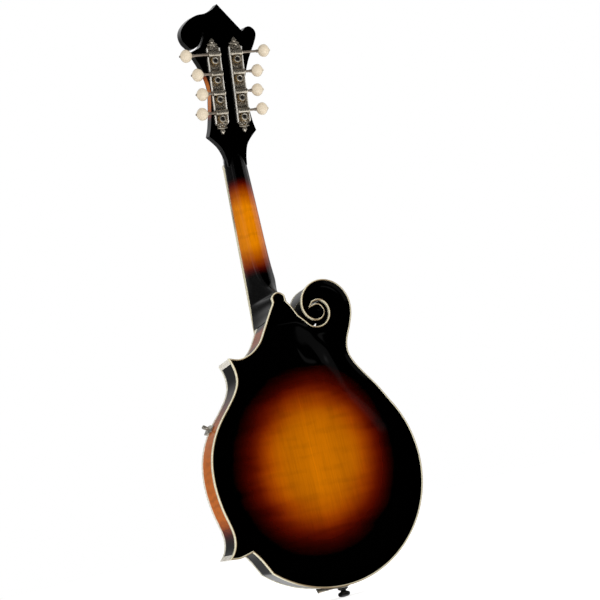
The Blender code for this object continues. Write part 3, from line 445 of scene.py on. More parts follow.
# ---------------------------------------------------------------- finishes
class Nodes:
    """A node tree filled call by call; each call gives back the new node's output."""

    def __init__(self, tree):
        self.tree = tree

    def add(self, kind, sockets=(), **settings):
        node = self.tree.nodes.new(kind)
        for key, value in settings.items():
            setattr(node, key, value)
        for key, value in dict(sockets).items():
            if isinstance(value, bpy.types.NodeSocket):
                self.tree.links.new(value, node.inputs[key])
            else:
                node.inputs[key].default_value = value
        return node

    def math(self, operation, a, b=0.0, c=0.0):
        return self.add("ShaderNodeMath", {0: a, 1: b, 2: c}, operation=operation).outputs[0]

    def times(self, first, *others):
        for other in others:
            first = self.math("MULTIPLY", first, other)
        return first

    def plus(self, first, *others):
        for other in others:
            first = self.math("ADD", first, other)
        return first

    def weigh(self, value, factor, rest):
        """value * factor + rest"""
        return self.math("MULTIPLY_ADD", value, factor, rest)

    def length(self, a, b):
        return self.math("SQRT", self.weigh(a, a, self.times(b, b)))

    def axes(self, vector):
        return list(self.add("ShaderNodeSeparateXYZ", {0: vector}).outputs)

    def span(self, value, low, high, to_low=0.0, to_high=1.0, smooth=True):
        """Value from low to high turned into to_low to to_high, and held at both beyond them."""
        kind = "SMOOTHSTEP" if smooth else "LINEAR"
        sockets = {0: value, 1: low, 2: high, 3: to_low, 4: to_high}
        return self.add("ShaderNodeMapRange", sockets, interpolation_type=kind).outputs[0]

    def fade(self, value, low, high):
        return self.span(value, low, high, 1.0, 0.0)

    def window(self, value, rise, full, fall, gone, smooth=True):
        """One between full and fall, nothing before rise and after gone."""
        return self.times(self.span(value, rise, full, 0.0, 1.0, smooth),
                          self.span(value, fall, gone, 1.0, 0.0, smooth))


class Finish(Nodes):
    """A procedural material: a Principled shader and the nodes that feed it."""

    def __init__(self, name, **sockets):
        self.material = bpy.data.materials.new(name)
        self.material.use_nodes = True
        super().__init__(self.material.node_tree)
        self.shader = self.tree.nodes["Principled BSDF"]
        for key, value in sockets.items():
            self.shader.inputs[key.replace("_", " ")].default_value = value
        coords = self.add("ShaderNodeTexCoord").outputs
        self.coords, self.normal = coords["Object"], coords["Normal"]

    def seen_from(self, place):
        """X and height counted from a place on the body."""
        x, _, z = self.axes(self.coords)
        return self.math("SUBTRACT", x, place[0] * MM), self.math("SUBTRACT", z, (place[1] + PIN) * MM)

    def slit_distance(self):
        return self.length(*self.seen_from(SLIT_EYE))

    def stretched(self, scale, turn=(0, 0, 0)):
        sockets = {"Vector": self.coords, "Scale": scale, "Rotation": turn}
        return self.add("ShaderNodeMapping", sockets).outputs[0]

    def noise(self, scale, detail=3.0, rough=0.5, stretch=(1, 1, 1), turn=(0, 0, 0)):
        sockets = {"Vector": self.stretched(stretch, turn), "Scale": scale, "Detail": detail,
                   "Roughness": rough}
        return self.add("ShaderNodeTexNoise", sockets).outputs["Fac"]

    def wave(self, scale, distortion, detail, stretch=(1, 1, 1), turn=(0, 0, 0), direction="X"):
        sockets = {"Vector": self.stretched(stretch, turn), "Scale": scale, "Distortion": distortion,
                   "Detail": detail, "Detail Scale": 1.6}
        return self.add("ShaderNodeTexWave", sockets, bands_direction=direction).outputs["Fac"]

    def ramp(self, value, stops):
        node = self.add("ShaderNodeValToRGB", {0: value})
        ramp = node.color_ramp
        ramp.interpolation = "B_SPLINE"
        while len(ramp.elements) < len(stops):
            ramp.elements.new(0.5)
        for element, (place, colour) in zip(ramp.elements, stops):
            element.position = place
            element.color = (*colour, 1.0)
        return node.outputs[0]

    def mix(self, share, a, b, blend="MIX"):
        a, b = [(*c, 1.0) if isinstance(c, tuple) else c for c in (a, b)]
        sockets = {0: share, 6: a, 7: b}
        return self.add("ShaderNodeMix", sockets, data_type="RGBA", blend_type=blend).outputs[2]

    def grey(self, value):
        return self.add("ShaderNodeCombineColor", {0: value, 1: value, 2: value}).outputs[0]

    def link(self, socket, value):
        self.tree.links.new(value, self.shader.inputs[socket])

    def colour(self, value, shade=None, haze_and_sheen=None):
        """Base colour, darkened by shade and lightened by a painted sheen."""
        if shade is not None:
            value = self.mix(1.0, value, self.grey(shade), "MULTIPLY")
        if haze_and_sheen is not None:
            value = self.mix(1.0, value, self.grey(haze_and_sheen), "ADD")
        self.link("Base Color", value)

    def rough(self, value):
        self.link("Roughness", value)

    def dull(self, stain_and_shade):
        """No shine where the stain and painted shade are full."""
        self.link("Specular IOR Level", self.weigh(stain_and_shade, -0.5, 0.5))

    def bump(self, height, strength, distance):
        sockets = {"Height": height, "Strength": strength, "Distance": distance * MM}
        self.link("Normal", self.add("ShaderNodeBump", sockets).outputs[0])
        return self.material


BLACK = (0.0, 0.0, 0.0)
UMBER = (0.020, 0.0006, 0.0)
OXBLOOD = (0.090, 0.0034, 0.0)
RUST = (0.22, 0.026, 0.0)
HONEY = (0.475, 0.128, 0.0)
BURST = [(0.0, HONEY), (0.24, HONEY), (0.42, (0.43, 0.110, 0.0)), (0.54, (0.33, 0.064, 0.0)), (0.645, RUST),
         (0.745, OXBLOOD), (0.86, UMBER), (0.97, BLACK)]
RIM_BURST = [(0.0, BLACK), (0.08, BLACK), (0.24, UMBER), (0.42, OXBLOOD), (0.62, (0.30, 0.052, 0.0)),
             (0.85, (0.56, 0.125, 0.004)), (1.0, (0.60, 0.145, 0.008))]
NECK_BURST = [(0.0, BLACK), (0.07, BLACK), (0.17, UMBER), (0.30, OXBLOOD), (0.50, (0.27, 0.042, 0.0)),
              (0.74, (0.44, 0.104, 0.0)), (0.92, (0.60, 0.172, 0.0)), (1.0, (0.61, 0.178, 0.0))]
SLIT_EYE = (-43.5, 311.5)


def lacquered(name, roughness=0.05, ior=1.5):
    """Clear polished lacquer: low roughness with faint polishing marks."""
    finish = Finish(name, IOR=ior)
    marks = finish.noise(900, 2.0, 0.6)
    haze_and_sheen = finish.noise(14, 3.0, 0.55)
    finish.rough(finish.weigh(finish.times(marks, haze_and_sheen), 0.06, roughness))
    return finish, marks


def flame(finish, tilt, pitch, strength, across=(1, 1, 1)):
    """Curly figure: soft uneven stripes across the grain, and fine pores along it."""
    turn = (0, radians(tilt), 0)
    stripe = finish.wave(pitch, 5.5, 3.0, across, turn, "Z")
    cloud = finish.noise(28, 3.0, 0.5, (1.0, 1.0, 2.2), turn)
    figure = finish.times(finish.span(stripe, 0.25, 0.95), finish.span(cloud, 0.36, 0.68))
    pores = finish.noise(600, 3.0, 0.6, (1.0, 1.0, 0.05))
    return finish.times(finish.weigh(figure, -strength, 1.0), finish.span(pores, 0.35, 0.7, 1.04, 0.90))


def plate_finish(name, centre, radii, tilt, streaked):
    """Sunburst by distance from a centre on the plate, within a tilted oval."""
    finish, marks = lacquered(name)
    dx, dz = finish.seen_from(centre)
    u = finish.weigh(dx, cos(tilt), finish.times(dz, sin(tilt)))
    v = finish.weigh(dz, cos(tilt), finish.times(dx, -sin(tilt)))
    far = finish.length(finish.math("DIVIDE", u, radii[0] * MM), finish.math("DIVIDE", v, radii[1] * MM))
    far = finish.plus(far, finish.weigh(finish.noise(11, 2.0, 0.5), 0.10, -0.05))
    if streaked:
        streak = finish.noise(40, 3.0, 0.55, (0.22, 1, 1.6), (0, radians(8), 0))
        far = finish.weigh(finish.span(streak, 0.45, 0.75), 0.045, far)
    return finish, marks, finish.ramp(finish.times(far, 0.80), BURST)


def back_finish():
    """Flamed maple, with the seam and two faint lines beside it."""
    finish, marks, burst = plate_finish("back_maple_burst", (6.5, 145.0), (79.0, 89.0), radians(16), True)
    shade = flame(finish, 7, 23.0, 0.13, (0.30, 1, 1))
    x = finish.axes(finish.coords)[0]
    for place, width, depth in ((0.012, 0.0007, 0.16), (-0.010, 0.0006, 0.10), (0.0285, 0.0005, 0.07)):
        off = finish.math("ABSOLUTE", finish.math("SUBTRACT", x, place))
        shade = finish.times(shade, finish.span(off, 0.0, width, 1.0 + depth, 1.0))
    broad = finish.noise(16, 2.0, 0.5, (2.2, 1, 0.35))
    finish.colour(burst, finish.times(shade, finish.span(broad, 0.3, 0.7, 0.88, 1.07)))
    return finish.bump(finish.weigh(marks, 0.004, finish.noise(9, 1.0, 0.4)), 0.10, 0.25)


def top_finish():
    """Spruce: fine straight grain lines and silk across them."""
    finish, marks, burst = plate_finish("spruce_burst", (0.0, 146.0), (86.0, 98.0), 0.0, False)
    x = finish.axes(finish.coords)[0]
    sway = finish.noise(7, 2.0, 0.5, (1, 1, 0.3))
    lines = finish.math("SINE", finish.weigh(x, 5200.0, finish.times(sway, 9.0)))
    silk = finish.noise(260, 2.0, 0.6, (0.3, 1, 3.0))
    shade = finish.times(finish.span(lines, 0.2, 1.0, 1.03, 0.80), finish.span(silk, 0.3, 0.7, 0.94, 1.05))
    finish.colour(burst, shade)
    return finish.bump(finish.weigh(lines, 0.12, marks), 0.05, 0.05)


def rim_finish():
    """Sides: amber round the lower bout and inside the cutaway, black by the points, tail and slit, with painted
    shade and no shine inside the slit.
    """
    finish, marks = lacquered("rim_maple_burst")
    x, z = finish.seen_from((0.0, 0.0))
    cut = finish.times(finish.window(z, 0.272, 0.292, 0.304, 0.318),
                       finish.window(x, 0.020, 0.026, 0.046, 0.066))
    glow = finish.math("MAXIMUM", finish.window(z, 0.066, 0.112, 0.184, 0.262), finish.times(cut, 0.62))
    # painted shade: inside the slit the colour goes black and the shine is taken out
    clear_of_slit_shade = finish.span(finish.slit_distance(), 0.0160, 0.0185)
    finish.colour(finish.ramp(glow, RIM_BURST), finish.times(flame(finish, -6, 34.0, 0.22), clear_of_slit_shade))
    finish.link("Specular IOR Level", finish.times(clear_of_slit_shade, 0.5))
    return finish.bump(finish.weigh(marks, 0.01, finish.noise(20, 1.0, 0.4)), 0.06, 0.2)


def neck_finish():
    """Neck and headstock: black at both ends, orange in the middle with painted shade on the bass side and a painted
    sheen on the flanks; amber on the head's edge.
    """
    finish, marks = lacquered("neck_burst", 0.06, 1.42)
    x, y, _ = finish.axes(finish.coords)
    z = finish.seen_from((0.0, 0.0))[1]
    # painted shade: the orange dims towards the bass edge (-X), as if that flank were turned from the light
    lean = finish.math("MINIMUM", finish.weigh(x, 20.0, 0.98), 1.0)
    along = finish.times(finish.window(z, 0.372, 0.414, 0.459, 0.500, False), lean)
    # s up the head and off from its face, as in head_at
    dy = finish.math("SUBTRACT", y, (BOARD_Y + NUT_S * sin(NECK_PITCH)) * MM)
    dz = finish.math("SUBTRACT", z, (TOP_Z + NUT_S * cos(NECK_PITCH)) * MM)
    s = finish.weigh(dy, sin(HEAD_PITCH), finish.times(dz, cos(HEAD_PITCH)))
    off = finish.weigh(dy, cos(HEAD_PITCH), finish.times(dz, -sin(HEAD_PITCH)))
    from_waist = finish.math("SUBTRACT", s, 0.0945)
    flare = finish.times(from_waist, finish.times(from_waist, 3.7))
    side = finish.math("SUBTRACT", finish.math("ABSOLUTE", x), flare)
    head = finish.times(finish.window(s, 0.054, 0.076, 0.100, 0.124), finish.span(side, 0.0212, 0.0220),
                        finish.fade(off, (HEAD_BACK - 0.5) * MM, HEAD_BACK * MM), 0.84)
    glow = finish.math("MAXIMUM", along, head)
    # painted reflection: a grey sheen added to the base colour on the bass flank (normal towards -X) and a fainter
    # one on the treble flank, ending below the head
    turn = finish.axes(finish.normal)[0]
    haze_and_sheen = finish.plus(finish.span(turn, -0.30, -0.14, 0.026, 0.0),
                       finish.span(turn, 0.34, 0.44, 0.0, 0.0045))
    haze_and_sheen = finish.times(haze_and_sheen, finish.fade(z, 0.505, 0.530))
    finish.colour(finish.ramp(glow, NECK_BURST), flame(finish, 5, 30.0, 0.12), haze_and_sheen)
    return finish.bump(finish.weigh(marks, 0.01, finish.noise(20, 1.0, 0.4)), 0.05, 0.2)


def black_lacquer():
    finish, marks = lacquered("black_lacquer", 0.05)
    cloud = finish.noise(30, 2.0, 0.5)
    finish.colour(finish.ramp(cloud, [(0.3, (0.003, 0.003, 0.003)), (0.7, (0.007, 0.006, 0.006))]))
    return finish.bump(marks, 0.02, 0.02)


def ivoroid(name="ivoroid", tone=(0.68, 0.63, 0.46), contrast=1.0, stained_and_shaded=False, slit=False):
    """Grained celluloid in two creams; the edge binding browned by painted shade on faces turned to -X and downwards
    and half browned on its back face; the top binding near black with painted shadow inside the scroll's slit.
    """
    finish = Finish(name, IOR=1.5)
    streaks = finish.noise(130, 3.0, 0.6, (0.25, 1.0, 5.0), (0, radians(14), 0))
    fine = finish.noise(900, 2.0, 0.5, (0.3, 1.0, 2.0))
    pale = tuple(min(1.0, c * (1 + 0.10 * contrast)) for c in tone)
    deep = tuple(c * (1 - f * contrast) for c, f in zip(tone, (0.10, 0.14, 0.24)))
    base = finish.ramp(streaks, [(0.32, deep), (0.5, tone), (0.68, pale)])
    x, y, z = finish.axes(finish.normal)
    if slit:
        # painted shadow: inside the scroll's slit, on faces not turned to the front, the cream goes near black and
        # loses its shine
        stain_and_shade = finish.times(finish.fade(finish.slit_distance(), 0.0170, 0.0195), finish.span(y, -0.8, -0.5))
        base = finish.mix(stain_and_shade, base, (0.006, 0.005, 0.004))
        finish.dull(stain_and_shade)
    if stained_and_shaded:
        # painted shade: faces turned to -X and downwards go brown and lose their shine; the flat back face is half
        # browned
        stain_and_shade = finish.span(finish.weigh(z, 0.35, x), -0.05, 0.30, 0.85, 0.0)
        stain_and_shade = finish.math("MAXIMUM", stain_and_shade, finish.span(y, 0.95, 0.995, 0.0, 0.55))
        base = finish.mix(stain_and_shade, base, (0.15, 0.078, 0.022))
        finish.dull(stain_and_shade)
    finish.colour(base, finish.span(fine, 0.3, 0.7, 0.97, 1.02))
    finish.rough(finish.span(streaks, 0.3, 0.7, 0.20, 0.30))
    return finish.bump(streaks, 0.05, 0.05)


def metal(name, colour, dark, low, high, wear=40, metallic=0.8):
    """Plated or polished metal with clouded tarnish and faint scratches."""
    finish = Finish(name, Metallic=metallic)
    cloud = finish.noise(wear, 4.0, 0.6)
    scratch = finish.noise(900, 3.0, 0.65, (1.0, 0.2, 1.0), (0.4, 0.2, 0.7))
    base = finish.ramp(cloud, [(0.30, dark), (0.62, colour)])
    finish.colour(base, finish.span(scratch, 0.3, 0.7, 0.92, 1.04))
    finish.rough(finish.span(finish.weigh(scratch, 0.4, cloud), 0.4, 1.0, high, low))
    return finish.bump(scratch, 0.12, 0.06)


def engraved_nickel():
    """Nickel plate with a stamped leaf and bead ground."""
    finish = Finish("engraved_nickel", Metallic=0.90)
    beads = finish.add("ShaderNodeTexVoronoi", {"Vector": finish.stretched((1.0, 0.5, 1.0)), "Scale": 620.0},
                       feature="SMOOTH_F1").outputs["Distance"]
    leaves = finish.wave(170, 9.0, 2.0, (1, 1, 1), (0.3, 0.8, 0.2), "DIAGONAL")
    cloud = finish.noise(90, 4.0, 0.6)
    relief = finish.weigh(beads, 1.4, finish.times(leaves, 0.5))
    # painted highlights and shade: the colour runs from near black in the low parts of the relief to light on its
    # high parts
    base = finish.ramp(relief, [(0.22, (0.060, 0.045, 0.030)), (0.80, (0.46, 0.41, 0.33))])
    finish.colour(base, finish.span(cloud, 0.3, 0.7, 0.75, 1.05))
    finish.rough(finish.span(cloud, 0.3, 0.7, 0.12, 0.30))
    return finish.bump(relief, 0.75, 0.45)


def ebony_finish():
    finish = Finish("ebony", IOR=1.5)
    pores = finish.noise(420, 4.0, 0.65, (1.0, 1.0, 0.06))
    bands = finish.noise(50, 3.0, 0.5, (1.0, 1.0, 0.12))
    base = finish.ramp(bands, [(0.35, (0.012, 0.010, 0.009)), (0.75, (0.0288, 0.024, 0.0216))])
    finish.colour(base, finish.span(pores, 0.3, 0.6, 0.6, 1.1))
    finish.rough(finish.span(pores, 0.3, 0.7, 0.48, 0.30))
    return finish.bump(pores, 0.25, 0.08)


def black_plastic():
    finish = Finish("black_plastic", IOR=1.5)
    cloud = finish.noise(60, 3.0, 0.5)
    fine = finish.noise(1100, 2.0, 0.6)
    finish.colour(finish.ramp(cloud, [(0.3, (0.006, 0.006, 0.006)), (0.7, (0.0085, 0.0085, 0.0085))]))
    finish.rough(finish.span(finish.times(cloud, fine), 0.1, 0.5, 0.10, 0.28))
    return finish.bump(fine, 0.06, 0.03)


def pearl_finish():
    """Mother of pearl: clouded, banded and softly shining."""
    finish = Finish("mother_of_pearl", IOR=1.55)
    bands = finish.wave(140, 14.0, 4.0, (1, 1, 1), (0.2, 0.4, 0.9), "DIAGONAL")
    cloud = finish.noise(240, 4.0, 0.6)
    base = finish.ramp(bands, [(0.1, (0.62, 0.66, 0.62)), (0.45, (0.84, 0.84, 0.80)),
                               (0.8, (0.76, 0.70, 0.74))])
    finish.colour(base, finish.span(cloud, 0.3, 0.7, 0.86, 1.06))
    finish.rough(finish.span(bands, 0.0, 1.0, 0.12, 0.26))
    return finish.bump(bands, 0.06, 0.05)


def bone_finish():
    finish = Finish("bone", IOR=1.5)
    pores = finish.noise(500, 4.0, 0.7, (0.12, 1.0, 1.0))
    creams = [(0.32, (0.60, 0.54, 0.40)), (0.5, (0.80, 0.76, 0.64)), (0.7, (0.85, 0.82, 0.72))]
    finish.colour(finish.ramp(pores, creams))
    finish.rough(finish.span(pores, 0.3, 0.7, 0.42, 0.28))
    return finish.bump(pores, 0.12, 0.05)


def raw_wood():
    finish = Finish("raw_wood", IOR=1.45)
    grain = finish.wave(90, 4.0, 3.0, (1, 1, 0.08))
    fuzz = finish.noise(700, 3.0, 0.7, (1, 1, 0.1))
    base = finish.ramp(grain, [(0.1, (0.66, 0.50, 0.31)), (0.9, (0.50, 0.35, 0.19))])
    finish.colour(base, finish.span(fuzz, 0.3, 0.7, 0.88, 1.06))
    finish.rough(finish.span(fuzz, 0.3, 0.7, 0.55, 0.75))
    return finish.bump(fuzz, 0.3, 0.15)


def wire(name, colour, dark, turns):
    """String wire: close windings seen as fine rings across its length."""
    finish = Finish(name, Metallic=1.0)
    windings = finish.math("SINE", finish.times(finish.axes(finish.coords)[2], turns))
    cloud = finish.noise(60, 3.0, 0.6)
    base = finish.ramp(cloud, [(0.3, dark), (0.7, colour)])
    # painted shade: the colour dims to 70 % in the low parts of the windings
    finish.colour(base, finish.span(windings, -1.0, 1.0, 0.70, 1.0))
    finish.rough(finish.span(cloud, 0.3, 0.7, 0.28, 0.42))
    return finish.bump(windings, 0.5, 0.06)


BACK_WOOD = back_finish()
TOP_WOOD = top_finish()
RIM_WOOD = rim_finish()
NECK_WOOD = neck_finish()
LACQUER = black_lacquer()
IVOROID = ivoroid()
# the edge binding is browned with painted shade on its faces turned to -X and downwards
EDGE_IVORY = ivoroid("edge_ivoroid", (0.78, 0.73, 0.54), stained_and_shaded=True)
# painted highlight: a whiter cream than the other bindings, so the ledge seen from behind shows bright; with a
# painted shadow in the slit
TOP_IVORY = ivoroid("top_ivoroid", (0.84, 0.81, 0.70), slit=True)
BUTTON_IVORY = ivoroid("button_ivoroid", (0.63, 0.54, 0.41), 0.25)
CAP_IVORY = ivoroid("point_ivoroid", (0.80, 0.77, 0.70))
NICKEL = metal("nickel", (0.72, 0.68, 0.60), (0.42, 0.38, 0.31), 0.12, 0.28, metallic=0.85)
SHAFT_NICKEL = metal("shaft_nickel", (0.34, 0.29, 0.24), (0.20, 0.16, 0.12), 0.22, 0.40, metallic=0.6)
# painted highlight: near-white, barely metallic nickel, so the tuner walls show bright as if lit
WALL_NICKEL = metal("wall_nickel", (0.95, 0.93, 0.88), (0.74, 0.70, 0.62), 0.16, 0.30, metallic=0.15)
RELIEF_NICKEL = metal("relief_nickel", (0.60, 0.55, 0.46), (0.17, 0.14, 0.10), 0.12, 0.28, 160, 0.85)
ENGRAVED = engraved_nickel()
# painted shadow: near-black steel for the gear screws, which sit in shade in the middle of each gear
SHADOWED_STEEL = metal("shadowed_steel", (0.05, 0.045, 0.04), (0.015, 0.013, 0.012), 0.30, 0.50)
BRASS = metal("brass", (0.68, 0.47, 0.19), (0.40, 0.25, 0.09), 0.20, 0.38)
STEEL = metal("fret_steel", (0.62, 0.61, 0.58), (0.44, 0.42, 0.39), 0.16, 0.32)
EBONY = ebony_finish()
BLACK_PLASTIC = black_plastic()
PEARL = pearl_finish()
BONE = bone_finish()
RAW_WOOD = raw_wood()
BRONZE_WIRE = wire("bronze_wire", (0.60, 0.38, 0.18), (0.42, 0.24, 0.10), 14000.0)
PLAIN_WIRE = wire("plain_wire", (0.66, 0.66, 0.66), (0.50, 0.50, 0.49), 900.0)


# ---------------------------------------------------------------- carved plates
OUTLINE = body_outline(2.6, False)
BACK_OUTLINE = body_outline(2.6, True)
CELL = 1.6
CELLS_X = np.arange(-132.0, 134.0, CELL)
CELLS_Z = np.arange(-4.0, 352.0, CELL)
TROUGH_Z = (150.0, 181.0, 220.0, 254.0, 290.0, 325.0)
TROUGH_X = (-84.0, -67.0, -49.0, -26.0, -18.0, -12.0)


def ease(value, low, high):
    t = np.clip((value - low) / (high - low), 0.0, 1.0)
    return t * t * (3 - 2 * t)


def carved(peak):
    """Grid of heights of a carved plate above its edge."""
    x, z = np.meshgrid(CELLS_X, CELLS_Z)
    points = np.stack([x.ravel(), z.ravel()], 1)
    d = edge_distance(points, OUTLINE).reshape(x.shape)
    d[~inside(points, OUTLINE).reshape(x.shape)] = 0.0
    # arch over the bout, with a shallow channel inside the edge
    long_fall = np.maximum(0.0, 1 - 0.42 * ((z - 158) / 165) ** 2)
    dome = peak * long_fall * (1 - 0.30 * (x / BOUT_R) ** 2) * ease(d, 5, 62)
    dip = -0.9 * np.exp(-((d - 9) / 6) ** 2)
    # the scroll's own ridge past the trough, and a spine that runs up to the neck
    past = (np.interp(z, TROUGH_Z, TROUGH_X) - x) * 0.85
    slope = np.interp(z, (190.0, 254.0, 300.0), (34.0, 24.0, 15.0))
    scroll = ease(past / slope, -0.1, 1.0) * ease(z, 178, 236)
    spine = 6.0 * ease(z, 205, 268) * ease(d, 0, 18) * ease(330 - z, 12, 60)
    ridge = 3.6 * ease(d, 0.5, 11.5)
    height = (dome + dip + spine) * (1 - scroll) + ridge * scroll
    soft = height
    for _ in range(10):
        for axis in (0, 1):
            soft = (np.roll(soft, 1, axis) + 2 * soft + np.roll(soft, -1, axis)) / 4
    share = ease(d, 5, 16)
    return np.where(d > 0, height * (1 - share) + soft * share, 0.0)


BACK_CARVE = carved(BACK_ARCH)
TOP_CARVE = carved(TOP_ARCH)


def arch(grid, x, z):
    """Height above the edge at one place, from a carved grid."""
    if z > TOP_Z and x > BASS_SHOULDER[0]:
        return 0.0
    i = min(max((z - CELLS_Z[0]) / CELL, 0), len(CELLS_Z) - 2)
    j = min(max((x - CELLS_X[0]) / CELL, 0), len(CELLS_X) - 2)
    i0, j0 = int(i), int(j)
    u, v = i - i0, j - j0
    low = grid[i0, j0] * (1 - v) + grid[i0, j0 + 1] * v
    high = grid[i0 + 1, j0] * (1 - v) + grid[i0 + 1, j0 + 1] * v
    return float(low * (1 - u) + high * u)


def under(grid, x, z):
    """Height of the plate's inner face above its edge."""
    return max(0.0, arch(grid, x, z) - 0.4) * 0.96


def field(loop, step, margin):
    """Evenly staggered points inside a loop, kept clear of its edge."""
    a = np.asarray(loop)
    x0, z0 = a.min(0)
    x1, z1 = a.max(0)
    rows = np.arange(z0 + step / 2, z1, step * 0.866)
    points = np.array([(x, z) for k, z in enumerate(rows)
                       for x in np.arange(x0 + (k % 2) * step / 2, x1, step)])
    keep = inside(points, loop) & (edge_distance(points, loop) > margin)
    return [tuple(p) for p in points[keep]]


def f_hole(side, step):
    """Loops of one f-hole: the stem and its two round eyes."""
    path = spline(F_PATH, step) + [F_PATH[-1]]
    left, right = [], []
    for i, p in enumerate(path):
        q0 = path[max(0, i - 1)]
        q1 = path[min(len(path) - 1, i + 1)]
        run = hypot(q1[0] - q0[0], q1[1] - q0[1])
        nx, nz = -(q1[1] - q0[1]) / run, (q1[0] - q0[0]) / run
        t = i / (len(path) - 1) * (len(F_WIDTH) - 1)
        k = min(int(t), len(F_WIDTH) - 2)
        w = F_WIDTH[k] + (F_WIDTH[k + 1] - F_WIDTH[k]) * (t - k)
        left.append((side * (p[0] + nx * w), p[1] + nz * w))
        right.append((side * (p[0] - nx * w), p[1] - nz * w))
    upper = ring((side * (F_PATH[0][0] + 1.2), F_PATH[0][1] - 1.0), F_UPPER_EYE, 28)
    lower = ring((side * (F_PATH[-1][0] - 1.6), F_PATH[-1][1] + 1.0), F_LOWER_EYE, 28)
    return [left + right[::-1], upper, lower]


def build_body():
    """Carved plates, their bindings, the sides and the caps of the points."""
    grain = 3.4
    proud = 0.12
    plate = inset(BACK_OUTLINE, BACK_BIND)
    extra = field(plate, grain, 1.6)
    data = sheet_data(plate, [], extra, lambda x, z: SIDE - EDGE + under(BACK_CARVE, x, z),
                      lambda x, z: SIDE + arch(BACK_CARVE, x, z))
    piece("v_back_plate", data, BACK_WOOD, ["back_plate"], crease=50)

    plate = inset(OUTLINE, BIND)
    holes = f_hole(1, 2.0) + f_hole(-1, 2.0)
    extra = field(plate, grain, 1.6)
    near = np.min([edge_distance(extra, h) for h in holes], axis=0)
    extra = [p for p, d in zip(extra, near) if d > 1.2]
    data = sheet_data(plate, holes, extra, lambda x, z: -SIDE - arch(TOP_CARVE, x, z),
                      lambda x, z: -SIDE + EDGE - under(TOP_CARVE, x, z))
    piece("v_soundboard", data, TOP_WOOD, ["soundboard"], crease=50)

    data = flat_data(BACK_OUTLINE, [inset(BACK_OUTLINE, BACK_BIND)], SIDE - EDGE - 0.5, SIDE + proud)
    piece("v_binding_back", data, EDGE_IVORY, ["binding_back"], bevel=0.85, segments=3)
    data = flat_data(inset(OUTLINE, 0.6), [inset(OUTLINE, BIND)], -SIDE - proud, -SIDE + EDGE)
    piece("v_binding_top", data, TOP_IVORY, ["binding_top"], bevel=0.4)

    deep = SIDE - EDGE + 0.05
    data = flat_data(inset(OUTLINE, OVERHANG), [inset(OUTLINE, OVERHANG + RIM_T)], -deep, deep)
    piece("v_rim", data, RIM_WOOD, ["rim"])

    cap_reach = 9.0
    loop = inset(OUTLINE, OVERHANG - 0.9)
    for name, tip in (("v_point_cap_lower", LOWER_POINT), ("v_point_cap_upper", UPPER_POINT)):
        wedge = [p for p in loop if hypot(p[0] - tip[0], p[1] - tip[1]) < cap_reach]
        piece(name, flat_data(wedge, [], -deep, deep), CAP_IVORY, slot="ivoroid", crease=30, bevel=0.3)


# ---------------------------------------------------------------- neck and headstock
# by height: depth behind the board, half width of the heel's flat back, half widths at the board
HEEL_DEPTH = ((313.3, 80.0), (325.0, 66.0), (332.0, 57.0), (338.0, 55.0), (342.0, 52.0), (344.0, 49.0),
              (350.0, 43.0), (356.0, 37.0), (364.0, 31.0), (374.0, 26.0), (386.0, 22.0), (400.0, 19.0),
              (420.0, 17.0), (450.0, 15.8), (480.0, 14.8), (516.0, 13.8), (530.0, 13.4), (540.0, 10.0))
HEEL_BACK = ((313.3, 19.5), (317.0, 15.5), (321.0, 12.8), (325.0, 11.2), (332.0, 8.2), (338.0, 7.8),
             (341.0, 6.0), (344.0, 1.8), (350.0, 0.5), (362.0, 0.0), (540.0, 0.0))
NECK_TREBLE = ((313.3, 20.0), (332.0, 18.4), (350.0, 17.4), (516.0, 14.0), (528.0, 13.0), (540.0, 10.0))
NECK_BASS = ((313.3, 17.5), (332.0, 17.6), (350.0, 17.4), (516.0, 14.0), (528.0, 13.0), (540.0, 10.0))
# sections up the neck, closer together where the heel turns
NECK_ROWS = (313.3, 315, 317, 319, 321, 323, 325, 328, 331, 334, 336, 338, 340, 341, 342, 343, 344, 345,
             346.5, 348, 350, 353, 356, 360, 364, 369, 374, 380, 386, 393, 400, 410, 420, 435, 450, 465,
             480, 498, 516, 522, 528, 534, 540)


# board riser by s: its underside and half width; inlay leaves by x, s, length, width and turn
RISER = ((3.0, -23.4, 15.6), (-20.0, -27.6, 15.4), (-40.0, -31.4, 15.0), (-56.0, -33.6, 14.0))
HEAD_LEAVES = ((0, 96, 15, 4.2, 90), (-5.6, 84, 12, 3.4, 140), (5.6, 84, 12, 3.4, 40),
               (-4.6, 68, 10, 2.8, 128), (4.6, 68, 10, 2.8, 52), (0, 56, 7, 2.4, 90))
ROD_COVER = [(-7.0, 9.5), (7.0, 9.5), (8.0, 16.0), (7.2, 26.0), (3.4, 36.0), (0.0, 44.0), (-3.4, 36.0),
             (-7.2, 26.0), (-8.0, 16.0)]


def half_width(s):
    """Half width of the board, s up from the neck joint."""
    return JOINT_HALF + (NUT_HALF - JOINT_HALF) * s / NUT_S


def neck_ring(z, count):
    """Section of neck or heel: flat under the board, rounded or squared behind."""
    lean = NECK_PITCH * float(ease(z, 340, 368))
    front = BOARD_Y + BOARD_T / cos(NECK_PITCH) + (z - TOP_Z) * tan(NECK_PITCH)
    depth = steady(HEEL_DEPTH, z)
    back = steady(HEEL_BACK, z)
    points = []
    for side, stops in ((1, NECK_TREBLE), (-1, NECK_BASS)):
        wide = steady(stops, z)
        run = []
        for k in range(count + 1):
            a = pi / 2 * k / count
            deep = depth * sin(a) ** 0.9
            straight = float(ease(374 - z, 0, 40))
            bow = max(0.0, cos(a)) ** 0.9 * (1 - straight) + (1 - sin(a) ** 0.9) * straight
            half = back + (wide - back) * bow
            y = min(front + deep * cos(lean), SIDE - EDGE)
            run.append(body(side * half, y, z - deep * sin(lean)))
        points += run if side > 0 else run[::-1]
    return points


